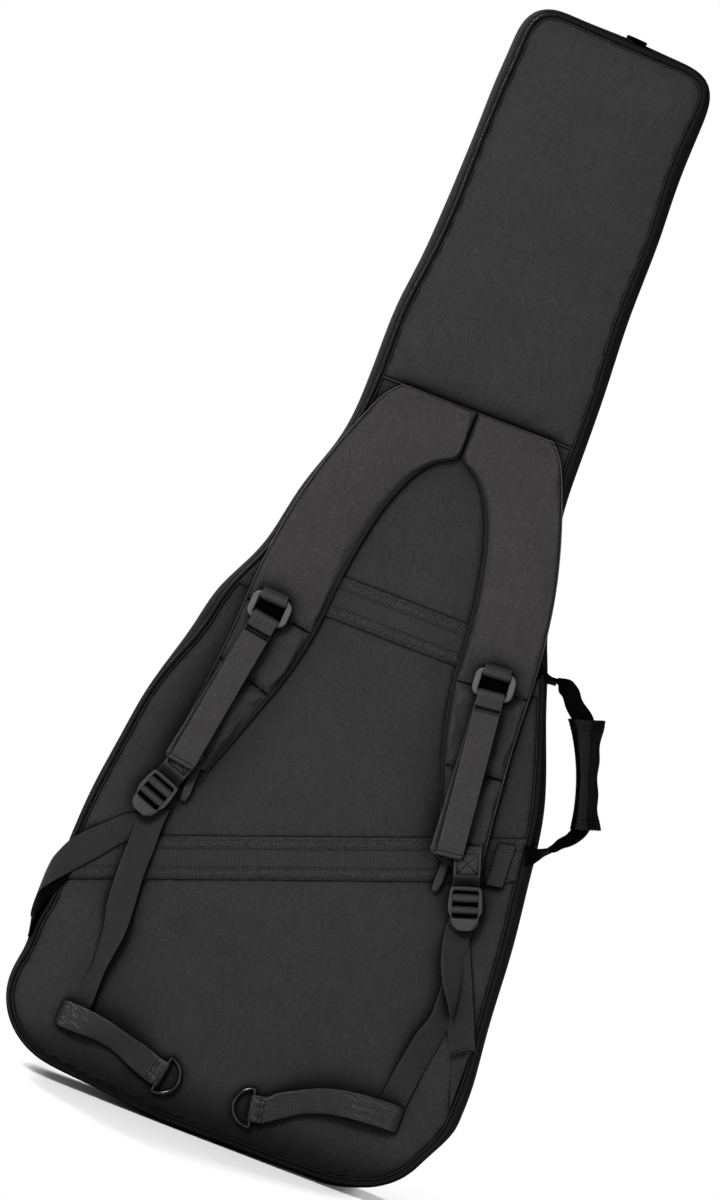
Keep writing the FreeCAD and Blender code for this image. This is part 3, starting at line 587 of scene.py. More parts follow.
def cloth_material(name, colour, pitch=0.75, sheen=0.03, rough=0.9, specular=0.1, turn_shade=0.45):
    """Plain-woven cloth with cloudy tone, speckled yarn and rubbed edges."""
    n = Nodes(bpy.data.materials.new(name), turn_shade)
    u, v = n.cloth_uv()
    place = n.place()
    height = n.weave(u, v, pitch, pitch)
    clouds = n.noise(place, 26.0, 5.0, 0.65).spread(0.84, 1.16)
    streaks = n.noise(n.stretched(560.0, 560.0, 70.0), 1.0, 2.0).spread(0.79, 1.21)
    shade = clouds * speckled(n, place, 520.0, YARN_GRAIN) * streaks * height.spread(0.86, 1.06)
    shade = shade + n.wear() * 0.7
    relief = height + n.noise(place, 160.0, 3.0) * 2.2
    return n.surface(n.tone(colour, shade), rough, relief, 0.2, 0.6, Sheen_Weight=sheen,
                     Sheen_Roughness=0.5, Specular_IOR_Level=specular)


def webbing_material(name, colour, rib=1.6, sheen=0.03, rough=0.75, specular=0.12):
    """Webbing with a herringbone of ribs and a firm selvage. v = 0 lies on its centre line."""
    n = Nodes(bpy.data.materials.new(name))
    u, v = n.cloth_uv()
    place = n.place()
    slant = u + n.zigzag(v, 8.0) * 0.55
    ribs = abs(n.maths("SINE", slant * (PI / rib)))
    height = ribs * 0.7 + n.weave(u, v, 0.9, 0.9) * 0.5
    clouds = n.noise(place, 40.0, 4.0, 0.6).spread(0.84, 1.16)
    selvage = abs(v).band(11.3, 14.0, 0.35).spread(1.0, 1.22)
    shade = speckled(n, place, 480.0, YARN_GRAIN) * clouds * height.spread(0.72, 1.14)
    shade = shade * selvage + n.wear() * 0.8
    return n.surface(n.tone(colour, shade), rough, height, 0.35, 0.7, Sheen_Weight=sheen,
                     Specular_IOR_Level=specular)


def band_material(name, colour):
    """Wide coarse band: pebbled woven borders with a zigzag of thread, and a ribbed middle."""
    n = Nodes(bpy.data.materials.new(name))
    u, v = n.cloth_uv()
    place = n.place()
    across = abs(v)
    border = across.band(8.4, 19.4, 0.5)
    middle = 1.0 - border
    ribs = n.weave(u, v, 1.15, 2.3, 0.5)
    pebble = n.weave(u, v, 2.1, 2.1, 0.5)
    thread = abs(abs(across - 14.0) - n.zigzag(u, 4.4)).band(-0.2, 0.6, 0.3)
    height = ribs * middle + pebble * (border * 1.5) + thread * border * 0.9
    dots = n.noise(place, 430.0, 2.0, 0.9) ** 2.0
    rough_weave = dots.spread(0.25, 3.1) * border
    plain_weave = n.noise(place, 430.0, 2.0, 0.8).spread(0.6, 1.4) * middle
    columns = abs(n.maths("SINE", u * (PI / 2.3)))
    groove, selvage = across.band(7.6, 9.0, 0.3), across.band(18.6, 19.8, 0.3)
    shade = (rough_weave + plain_weave) * height.spread(0.7, 1.15)
    shade = shade * n.noise(place, 20.0, 3.0).spread(0.85, 1.15) * columns.spread(0.66, 1.16)
    shade = shade * (groove.spread(1.0, 0.6) + selvage.spread(0.0, 0.5))
    return n.surface(n.tone(colour, shade), 0.85, height, 0.5, 0.7, Sheen_Weight=0.02,
                     Specular_IOR_Level=0.08)


def knit_material(name, colour):
    """Spacer mesh with rows of small open cells."""
    n = Nodes(bpy.data.materials.new(name))
    u, v = n.cloth_uv()
    flat = n.out("CombineXYZ", "Vector", {"X": u / 2.2, "Y": v / 1.9})
    cells = n.out("TexVoronoi", "Distance", {"Vector": flat, "Scale": 1.0, "Randomness": 0.15},
                  feature="F1", distance="EUCLIDEAN", voronoi_dimensions="2D")
    height = n.maths("MINIMUM", cells * 2.0, 1.0)
    shade = height.spread(0.35, 1.2) * n.noise(n.place(), 300.0).spread(0.85, 1.15)
    return n.surface(n.tone(colour, shade), 0.9, height, 0.6, 0.8, Sheen_Weight=0.1,
                     Specular_IOR_Level=0.1)


def leather_material(name, colour):
    """Grained imitation leather, glossier where the hand rubs it."""
    n = Nodes(bpy.data.materials.new(name))
    place = n.place()
    grain = n.out("TexVoronoi", "Distance", {"Vector": place, "Scale": 620.0}, feature="DISTANCE_TO_EDGE")
    height = n.maths("MINIMUM", grain * 3.0, 0.6) + n.noise(place, 75.0, 5.0, 0.65)
    shade = n.noise(place, 30.0, 3.0).spread(0.85, 1.2) + n.wear() * 1.2
    rough = n.noise(place, 55.0, 3.0).spread(0.28, 0.5)
    return n.surface(n.tone(colour, shade), rough, height, 0.22, 0.45, Specular_IOR_Level=0.12)


def hard_material(name, colour, rough=0.45, specular=0.4, metal=0.0):
    """Moulded plastic or painted metal: fine skin texture, soft scratches and rubbed edges."""
    n = Nodes(bpy.data.materials.new(name))
    place = n.place()
    streaks = n.noise(n.stretched(900.0, 900.0, 40.0), 1.0, 3.0)
    shade = n.noise(place, 60.0, 3.0).spread(0.9, 1.1) * streaks.spread(0.875, 1.125) + n.wear() * 1.5
    return n.surface(n.tone(colour, shade), streaks.spread(-0.08, 0.08) + rough, n.noise(place, 900.0, 2.0),
                     0.06, 0.4, Specular_IOR_Level=specular, Metallic=metal)


SHELL = cloth_material("shell_cloth", (0.0232, 0.0223, 0.0229), specular=0.05)
# the shell cloth again, darker and with strong turn shade: painted shade on the side walls
SHADED_SHELL = cloth_material("gusset_cloth", (0.0150, 0.0145, 0.0148), specular=0.03, sheen=0.0, turn_shade=1.3)
PAD = cloth_material("pad_cloth", (0.0290, 0.0276, 0.0282), pitch=0.85, specular=0.05)
# lighter cord: painted highlight on the pads' rolled edges, and the pale line along the yoke seam
PALE_CORD_AND_HIGHLIGHT = cloth_material("pale_cord_and_highlight", (0.060, 0.058, 0.059), pitch=0.5, specular=0.1)
LINING = cloth_material("lining_cloth", (0.045, 0.045, 0.048), pitch=1.3, sheen=0.2, rough=0.55, specular=0.35)
# near black: the cord's own dark colour, darkened further as painted shade for the groove beside the panel
PIPING = cloth_material("piping_cord", (0.0040, 0.0039, 0.0040), pitch=0.9, rough=0.6, specular=0.06)
BAND_THREAD = cloth_material("band_thread", (0.042, 0.040, 0.0405), pitch=0.35, specular=0.05)
THREAD = cloth_material("thread", (0.0012, 0.0012, 0.0012), pitch=0.35, specular=0.02, sheen=0.0)
TAPE = webbing_material("zip_tape", (0.006, 0.006, 0.0062), rib=1.1, specular=0.05)
TEETH = hard_material("zip_teeth", (0.010, 0.010, 0.010), rough=0.35)
# a little darker than the band's own colour, as painted shade for the upper band lying between the pads
BAND = band_material("band_webbing", (0.0230, 0.0220, 0.0222))
STRAP = webbing_material("strap_webbing", (0.0290, 0.0277, 0.0283), specular=0.06)
TAIL = webbing_material("tail_webbing", (0.0172, 0.0164, 0.0168), specular=0.06)
SATIN = webbing_material("satin_webbing", (0.0060, 0.0057, 0.0058), rough=0.30, specular=0.32, sheen=0.0)
# near-black webbing of the handle and hang loop, also used for near-black sheets that are painted shade
HANDLE_AND_SHADE_WEB = webbing_material("handle_webbing", (0.0008, 0.0008, 0.0009), specular=0.015, sheen=0.0)
KNIT = knit_material("spacer_mesh", (0.007, 0.007, 0.0073))
LEATHER = leather_material("grip_leather", (0.0011, 0.0011, 0.0012))
FOAM_COVER = cloth_material("block_cover", (0.06, 0.06, 0.062), pitch=1.2, sheen=0.4)
RING = hard_material("ring_plastic", (0.060, 0.059, 0.061), rough=0.42, specular=0.3)
LOCK = hard_material("lock_plastic", (0.034, 0.0335, 0.0342), rough=0.6, specular=0.08)
WIRE = hard_material("wire_metal", (0.002, 0.002, 0.002), rough=0.2, specular=0.45)
SLIDER = hard_material("slider_metal", (0.018, 0.018, 0.019), rough=0.3, metal=0.6)


# ---------------------------------------------------------------- shells

BAG = Edge(face_outline("front_panel", 1), SEAM_INSET, 560, 2.0)
PANEL_LOW, PANEL_HIGH = node_box("body_panel")
BACK_Y = PANEL_LOW[1]                       # outer face of the strap side
FRONT_Y = node_box("front_panel")[1][1]     # outer face of the lid
YOKE_Z = PANEL_HIGH[2]
HINGE = hinge_point("lid_hinge")
HINGE_SPAN = (HINGE[2] - 90, HINGE[2] + 90)
ZIP_HALF = 10.0
PANEL_STEP = 6.0                            # size of a panel's cells
PANEL_THICK = 10.0
FOOT_Z, CROWN_Z = 100.0, 1000.0             # a panel's edge between these levels is a seam across the shell
PUFF_ROOM, HELD_ROOM = 4.0, 0.7             # how far a panel can puff, freely and where the straps lie on it


def seam_inset(points):
    """The panel's seam sits a little deeper at the neck and on the handle side."""
    x, z = points[:, 0], points[:, 1]
    low = 1 - ease(z, 380, 520)
    tuck = np.where(x < 0, 6.0 * bump(z, 158, 32) + 4.0 * bump(z, 455, 60), 3.0 * bump(z, 330, 60))
    return SEAM_INSET + 3.5 * ease(z, 560, 760) + low * 0.012 * x + tuck


SEAM = seam_inset(BAG.points)
SEAM_LINE = BAG.inset(SEAM)

# Where the filled bag bulges out of its cut outline or sinks in: level, half height, distance
LEFT_HILLS = ((105, 26, -4.5), (262, 55, 3.6), (480, 36, 6.5), (600, 40, 3.0), (780, 52, 4.6), (1045, 40, -3.5))
RIGHT_HILLS = ((150, 60, 2.4), (290, 90, 3.6), (548, 26, -3.5), (625, 40, -1.6), (760, 60, 2.0), (915, 55, 4.6),
               (1050, 40, 3.0))


def sag(line):
    """Outline of the filled bag: bulging sides, worn lower corners, and a head that slumps sideways."""
    x, z = line[:, 0], line[:, 1]
    left = sum(height * bump(z, level, half) for level, half, height in LEFT_HILLS)
    right = sum(height * bump(z, level, half) for level, half, height in RIGHT_HILLS)
    shift = np.where(x < 0, -left, right) * ease(np.abs(x), 20, 80)
    shift = shift - 12 * (1 - ease(z, 40, 95)) * ease(x, 130, 190)
    lift = 16 * ease(-x, 30, 200) * (1 - ease(z, 30, 150))
    lift = lift + 7 * ease(x, 115, 170) * (1 - ease(z, 30, 100))
    lift = lift + (2.6 - 0.045 * x) * ease(z, 960, 1080)
    corner = 5.5 * bump(x, 82, 22) * bump(z, 1072, 22)
    wave = 1.1 * ripple(x, z, 5, 230) * ease(np.abs(x), 20, 80)
    middle = np.stack([np.zeros(len(line)), np.clip(z, 200, 950)], axis=1)
    away = unit(line - middle)
    return line + away * wave[:, None] + np.stack([shift + corner * 0.6, lift + corner * 0.6], axis=1)


def at_depth(line, y):
    """(x, z) line at a depth y, one number or one for each point."""
    return np.stack([line[:, 0], np.broadcast_to(y, len(line)), line[:, 1]], axis=1)


def width_at(line, z):
    """Left and right x of a closed outline at each height."""
    turn = np.argmax(line[:, 1] - 0.001 * np.abs(line[:, 0]))
    right = line[:turn + 1]
    left = np.vstack([line[:1], line[:turn - 1:-1]])
    sides = []
    for half in (left, right):
        rising = half[:, 1] > np.concatenate([[-1e9], np.maximum.accumulate(half[:, 1])[:-1]]) + 1e-4
        flat_end = half[np.abs(half[:, 1] - half[:, 1].min()) < 0.6]
        x, level = half[rising, 0], half[rising, 1]
        start = flat_end[np.argmax(np.abs(flat_end[:, 0]))]
        keep = level > start[1] + 0.05
        sides.append(np.interp(z, np.concatenate([[start[1]], level[keep]]),
                               np.concatenate([[start[0]], x[keep]])))
    return sides[0], sides[1]


def panel_grid(line, low, high, step):
    """Rows by height, columns from edge to edge. Rows are closer where the outline turns."""
    z = low + (high - low) * np.linspace(0, 1, int((high - low) / step) + 1)
    corner = np.linspace(0, 1, 14)
    dense = low + 55 * corner ** 2
    crown = high - 30 * corner[::-1] ** 2
    z = np.concatenate([dense, z[(z > dense[-1] + 2) & (z < crown[0] - 2)], crown])
    left, right = width_at(line, z)
    cols = int((right - left).max() / step) + 1
    x = left[:, None] + (right - left)[:, None] * bunched(cols, 0.35)[None, :]
    return x, np.repeat(z[:, None], cols, axis=1)


def edge_distance(x, z, line):
    """Distance of each grid point from an outline."""
    flat = np.stack([x.ravel(), z.ravel()], axis=1)
    nearest = np.full(len(flat), 1e9)
    for part in np.array_split(line, 20):
        gap = np.linalg.norm(flat[:, None] - part[None], axis=2).min(axis=1)
        nearest = np.minimum(nearest, gap)
    return nearest.reshape(x.shape)


def panel(name, low, high, side, face_y, crown, body, replaces, sewn=()):
    """One padded panel: woven cloth outside, lining inside, puffed between its seams.

    sewn lists (point, direction, half width) of bands stitched down across it."""
    x, z = panel_grid(SEAM_LINE, low, high, PANEL_STEP)
    rim = edge_distance(x, z, SEAM_LINE)
    if low > FOOT_Z:
        rim = np.minimum(rim, z - low)
    if high < CROWN_Z:
        rim = np.minimum(rim, high - z)
    x, z = sag(np.stack([x.ravel(), z.ravel()], axis=1)).T.reshape((2,) + x.shape)
    rise = 1 - np.exp(-rim / 7.0)
    height = crown(x, z) * rise - 1.2 * np.exp(-rim / 3.0)
    tight = rim < 4
    for (px, pz), angle, half in sewn:
        run = math.radians(angle)
        off = np.abs(-(x - px) * math.sin(run) + (z - pz) * math.cos(run))
        height = height * (1 - 0.85 * (off < half + 1) - 0.6 * bump(off, half + 1, 8) * (off >= half + 1))
        tight = tight | (off < half + 2)
    front = np.stack([x, face_y + side * height, z], axis=2)
    if side > 0:
        front = front[:, ::-1]
    inner = np.stack([front[..., 0], np.full(x.shape, face_y - side * PANEL_THICK), front[..., 2]], axis=2)
    start = Shape()
    solid_between(start, front, inner)
    pinned = np.concatenate([tight.ravel() if side < 0 else tight[:, ::-1].ravel(), np.ones(x.size, bool)])
    room = np.full(front.shape[:2], PUFF_ROOM)
    if side < 0 and high < CROWN_Z:
        room = 2.6 + (HELD_ROOM - 2.6) * ease(front[..., 2], 60, 240)
    points = plump(start, pinned, PANEL_PRESSURE, np.tile(room.ravel(), 2), swell=0.004)
    shape = Shape()
    solid_between(shape, points[:x.size].reshape(front.shape), inner)
    finish_piece(name, shape, body, [SHELL, LINING], replaces)


UPPER_BAND = node_box("upper_band")
UPPER_LEVEL = (UPPER_BAND[0][2] + UPPER_BAND[1][2]) / 2
BAND_HALF = (UPPER_BAND[1][2] - UPPER_BAND[0][2]) / 2


def band_lean():
    """Angle and middle level of the lower band, from its corners."""
    points = node_points("lower_band")
    top = points[np.argmax(points[:, 2])]
    near = points[np.abs(points[:, 0] - points[:, 0].min()) < 30]
    left_top = near[np.argmax(near[:, 2])]
    angle = math.atan2(top[2] - left_top[2], top[0] - left_top[0])
    level = top[2] - top[0] * math.tan(angle) - BAND_HALF / math.cos(angle)
    return math.degrees(angle), level


LOWER_ANGLE, LOWER_LEVEL = band_lean()


def back_crown(x, z):
    """Height of the strap side: low where the pads lie, fuller towards the bottom."""
    low = 0.9 * ease(z, 20, 120) * (1 - ease(z, 250, 420))
    return 0.3 + low + 0.7 * ripple(x, z, 3, 260)


def neck_crown(x, z):
    return 3.4 + 1.0 * ripple(x, z, 11, 210)


def lid_crown(x, z):
    under_pocket = (np.abs(x) < 158) & (z > 50) & (z < 358)
    return np.where(under_pocket, 0.6, 3.5 + 1.2 * ripple(x, z, 17, 240))


def walls(name, side, edge_y, seam_y, body, replaces):
    """Padded side wall between a panel and the zip: cloth outside, lining inside, one closed skin.

    side is -1 for the rear shell and 1 for the lid, edge_y the zip's end, seam_y the panel's end."""
    deep = seam_y - edge_y
    section = [(6.8, 0.985), (4.6, 0.985), (2.6, 0.94), (1.1, 0.83), (0.3, 0.66), (-0.2, 0.45), (0.0, 0.25),
               (0.3, 0.1), (0.6, 0.03), (1.6, -0.005), (2.8, 0.01), (3.6, 0.06), (8.4, 0.1), (9.4, 0.14),
               (LINING_INSET, 0.3), (LINING_INSET, 0.6), (LINING_INSET, 0.84), (8.6, 0.88), (7.4, 0.93)]
    rings = []
    for number, (inset, share) in enumerate(section):
        mix = ease(6 - number, 0, 5) if number < 7 else (1.0 if number > 15 else 0.0)
        depth = inset + mix * (SEAM - SEAM_INSET)
        line = BAG.inset(depth)
        if 2 < number < 9:
            puff = 0.7 * ripple(BAG.along[:-1], np.full(len(line), share * 60), 21 + side, 170)
            line = line + BAG.normals * puff[:, None]
        rings.append(at_depth(sag(line), edge_y + deep * share))
    rings = np.array(rings).transpose(1, 0, 2)
    if side > 0:
        rings = rings[:, ::-1]
    inner = set(range(11, 17))
    kinds = [1 if (j if side < 0 else len(section) - 2 - j) in inner else 0 for j in range(len(section))]
    shape = Shape()
    loft(shape, rings, path_closed=True, kinds=kinds)
    finish_piece(name, shape, body, [SHADED_SHELL, LINING], replaces)


def piping(name, side, y, body, replaces):
    """Cord sewn between the panel and the wall, with its flange of stitches on the panel."""
    line = sag(BAG.inset(SEAM - CORD - 0.2))
    shape = Shape()
    tube(shape, at_depth(line, y), CORD + 0.15 * ripple(line[:, 0], line[:, 1], 9, 60), closed=True, sides=12)
    tube(shape, at_depth(sag(BAG.inset(SEAM + 1.2)), y + side * 0.5), 0.6, closed=True, sides=6, kinds=1)
    finish_piece(name, shape, body, [PIPING, PAD], replaces)


def hinge_gap(line):
    """True for points of the outline in the stretch of the fabric hinge."""
    return (line[:, 0] < 0) & (line[:, 1] > HINGE_SPAN[0]) & (line[:, 1] < HINGE_SPAN[1])


def zip_run():
    """Indices of the outline along the zip, from the lower end of the hinge round to its upper end."""
    closed = hinge_gap(BAG.points)
    count = len(closed)
    start = next(i for i in range(count) if closed[i] and not closed[(i + 1) % count])
    order = (start + 1 + np.arange(count)) % count
    return order[:int(np.argmax(closed[order]))]


ZIP_RUN = zip_run()


def zip_side(prefix, side, body):
    """Tape and moulded teeth of one half of the main zip."""
    tape_box, teeth_box = node_box(f"{prefix}_zip_tape"), node_box(f"{prefix}_zip_coil")
    near, far = sorted((tape_box[0][1], tape_box[1][1]), key=lambda y: abs(y - HINGE[1]))
    inner, line, outer = (sag(BAG.inset(inset))[ZIP_RUN] for inset in (4.0, 3.4, 2.9))
    edge = far + side * 1.0
    half_way = (near + edge) / 2
    section = [(outer, near), (outer, half_way), (outer, edge), (inner, edge), (inner, half_way), (inner, near)]
    if side > 0:
        section = section[::-1]
    shape = Shape()
    loft(shape, np.array([at_depth(line, y) for line, y in section]).transpose(1, 0, 2))
    finish_piece(f"{prefix}_zip_tape_web", shape, body, [TAPE], [f"{prefix}_zip_tape"])

    along = lengths_along(at_depth(line, 0))
    spots = np.arange(TOOTH_PITCH / 2, along[-1], TOOTH_PITCH) + (TOOTH_PITCH / 2 if side > 0 else 0)
    place = at_lengths(spots, along, line)
    normal = unit(at_lengths(spots, along, BAG.normals[ZIP_RUN]))
    run = np.stack([-normal[:, 1], normal[:, 0]], axis=1)
    low, high = teeth_box[0][1], teeth_box[1][1]
    head = high if side < 0 else low
    tail = low if side < 0 else high
    shape = Shape()
    profile = [(tail, 0.45, 0.45), (tail - side * 0.5, 0.62, 0.85), ((head + tail) / 2, 0.55, 0.95),
               (head + side * 0.5, 0.75, 0.9), (head, 0.5, 0.5)]
    angle = full_turn(8) + PI / 8
    for p, nrm, along_run in zip(place, normal, run):
        rings = []
        for y, half_run, half_out in profile:
            offset = (np.cos(angle)[:, None] * half_run * along_run[None] * 1.2
                      + np.sin(angle)[:, None] * half_out * nrm[None])
            rings.append(np.stack([p[0] + offset[:, 0], np.full(8, y), p[1] + offset[:, 1]], axis=1))
        loft(shape, rings)
    finish_piece(f"{prefix}_zip_teeth", shape, body, [TEETH], [f"{prefix}_zip_coil"])


def zip_flap():
    """Strip of cloth inside the zip, on the rear shell: no light passes between the teeth."""
    start, end = REAR_EDGE - 1.5, LID_EDGE - 1.0
    middle = (start + end) / 2
    section = [(5.4, start), (5.2, middle), (5.4, end), (6.0, end), (6.0, middle), (6.2, start)]
    rows = [at_depth(sag(BAG.inset(inset))[ZIP_RUN], y) for inset, y in section]
    shape = Shape()
    loft(shape, np.array(rows).transpose(1, 0, 2))
    finish_piece("zip_flap", shape, "rear_shell", [SHADED_SHELL])


def hinge_cloth():
    """Strip of wall cloth that joins the lid to the rear shell where there is no zip."""
    run = np.flatnonzero(hinge_gap(BAG.points))
    shares = np.linspace(0, 1, 25)
    depths = HINGE[1] - ZIP_HALF - 3 + shares * (2 * ZIP_HALF + 6)
    outer, inner = (np.array([at_depth(sag(BAG.inset(inset + bow * math.sin(share * PI)))[run], y)
                              for share, y in zip(shares, depths)]) for inset, bow in ((0.9, 0.5), (2.5, 0.3)))
    shape = Shape()
    uv = np.stack(np.broadcast_arrays(BAG.along[run][None, :], (shares * 26)[:, None]), axis=2)
    solid_between(shape, outer, inner, uv=uv)
    piece = finish_piece("hinge_cloth", shape, None, [SHADED_SHELL, LINING])
    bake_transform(piece)


bands_sewn = [((0, UPPER_LEVEL), 0.0, BAND_HALF), ((0, LOWER_LEVEL), LOWER_ANGLE, BAND_HALF)]
SEAM_LOW, SEAM_HIGH = SEAM_LINE[:, 1].min(), SEAM_LINE[:, 1].max() - 0.2
panel("body_cloth", SEAM_LOW, YOKE_Z, -1, BACK_Y, back_crown, "rear_shell",
      ["body_panel", "back_foam", "back_lining"], bands_sewn)
panel("neck_cloth", YOKE_Z, SEAM_HIGH, -1, BACK_Y, neck_crown, "rear_shell", ["neck_panel"])
panel("lid_cloth", SEAM_LOW, SEAM_HIGH, 1, FRONT_Y, lid_crown, "lid",
      ["front_panel", "front_foam", "front_lining"])
REAR_EDGE = node_box("rear_zip_tape")[0][1]
LID_EDGE = node_box("lid_zip_tape")[1][1]
SHELLS = (("rear", -1, "rear_shell", REAR_EDGE, BACK_Y, "back_piping"),
          ("lid", 1, "lid", LID_EDGE, FRONT_Y, "front_piping"))
for prefix, side, body, zip_edge, face_y, cord in SHELLS:
    layers = [f"{prefix}_gusset{layer}" for layer in ("", "_foam", "_lining")]
    walls(f"{prefix}_wall", side, zip_edge, face_y, body, layers)
    piping(f"{prefix}_piping", side, face_y + side * 0.4, body, [cord])
    zip_side(prefix, side, body)
zip_flap()
hinge_cloth()


# ---------------------------------------------------------------- bands and sewn strips on the rear shell

BAND_THICK = 1.5
STRIP_STEPS = 90
PAD_LOW = BACK_Y - 2.0                      # the pads' mesh side lies just clear of the panel


def strip_across(shape, middle, angle, half, y, thick, lumpy=0.25):
    """Strip of webbing from edge to edge of the strap side, running at an angle through a point."""
    line = sag(BAG.inset(SEAM + 0.6))
    c, s = math.cos(math.radians(angle)), math.sin(math.radians(angle))
    reach = np.linspace(-260, 260, 2081)
    offs = np.linspace(-half, half, 13)
    rows = []
    for off in offs:
        x = middle[0] + reach * c - off * s
        z = middle[1] + reach * s + off * c
        left, right = width_at(line, z)
        inside = np.flatnonzero((x > left) & (x < right))[[0, -1]]
        rows.append([np.linspace(*x[inside], STRIP_STEPS), np.linspace(*z[inside], STRIP_STEPS)])
    x, z = np.array(rows).transpose(1, 0, 2)
    off = np.broadcast_to(offs[:, None], x.shape)
    run = (x - middle[0]) * c + (z - middle[1]) * s
    lift = lumpy * ripple(x, z, 31, 90) - 0.5 * (np.abs(off) > half - 0.5)
    front = np.stack([x, y - thick - lift, z], axis=2)
    back = np.stack([x, np.full(x.shape, y + 0.6), z], axis=2)
    solid_between(shape, front, back, kinds=(0, 0), uv=np.stack([run, off], axis=2))
    return front


def band(name, middle, angle, replaces):
    """Wide band of coarse webbing with a row of stitches along each edge."""
    shape = Shape()
    front = strip_across(shape, middle, angle, BAND_HALF, BACK_Y - 0.4, BAND_THICK)
    finish_piece(name, shape, "rear_shell", [BAND], replaces)
    thread = Shape()
    for row in (1, 3, -4, -2):
        stitches(thread, front[row] + OUT * 0.15, OUT, long=2.4, gap=1.2, radius=0.36)
    finish_piece(name + "_stitches", thread, "rear_shell", [BAND_THREAD])


def yoke():
    """Seam across the neck where the pads' tops are sewn in, with one pale cord along it above its middle."""
    low, high = node_box("yoke_binding")
    shape = Shape()
    front = strip_across(shape, (0, YOKE_Z), 0.0, (high[2] - low[2]) / 2 - 3.2, BACK_Y - 0.1, 0.9, lumpy=0.15)
    tube(shape, front[9], 0.5, sides=6, kinds=1)
    finish_piece("yoke_seam", shape, "rear_shell", [SHELL, PALE_CORD_AND_HIGHLIGHT], ["yoke_binding"])


band("upper_band_web", (0, UPPER_LEVEL), 0.0, ["upper_band"])
band("lower_band_web", (0, LOWER_LEVEL), LOWER_ANGLE, ["lower_band"])
yoke()


# ---------------------------------------------------------------- shoulder pads

PAD_RISE = 10.5
PAD_ROWS, PAD_COLS = 104, 24
PAD_LONG = 415.0


def pad_sides(side):
    """Inner and outer edge of a pad from its top to its tip, as smooth (x, z) lines of equal count."""
    loop = face_outline(f"{side}_pad_mesh", -1)
    x = np.abs(loop[:, 0])
    high, low = loop[:, 1].max(), loop[:, 1].min()
    top_in, top_out, tip_out = (np.argmin(np.hypot(x - a, loop[:, 1] - b)) for a, b in
                                ((x.min(), high), (x[loop[:, 1] > high - 1].max(), high), (x.max(), low)))
    tip_in = np.argmin(np.hypot(x - (x[tip_out] - 37), loop[:, 1] - loop[tip_out, 1] - 6))

    def chain(start, end, avoid):
        for step in (1, -1):
            picked = [start]
            while picked[-1] != end:
                picked.append((picked[-1] + step) % len(loop))
            if avoid not in picked:
                return loop[picked]

    inner, outer = chain(top_in, tip_in, top_out), chain(top_out, tip_out, top_in)
    apex = 2 if np.abs(inner[1, 0]) < 3 else 1
    slit = sample_line(inner[:apex], 12)[:-1]
    arch, outer = (curve_through(in_plane(line), 400)[:, [0, 2]] for line in (inner[apex - 1:], outer))
    inner = np.vstack([slit, arch])
    return tuple(fair(sample_line(line, PAD_ROWS + 1), spread, closed=False)
                 for line, spread in ((inner, 1.0), (outer, 2.0)))


def seam_share(inner, outer, level_in, level_out):
    """Row position of a cross seam at its two ends, as shares of the pad's length."""
    rows = np.linspace(0, 1, len(inner))
    return np.interp(-level_in, -inner[:, 1], rows), np.interp(-level_out, -outer[:, 1], rows)


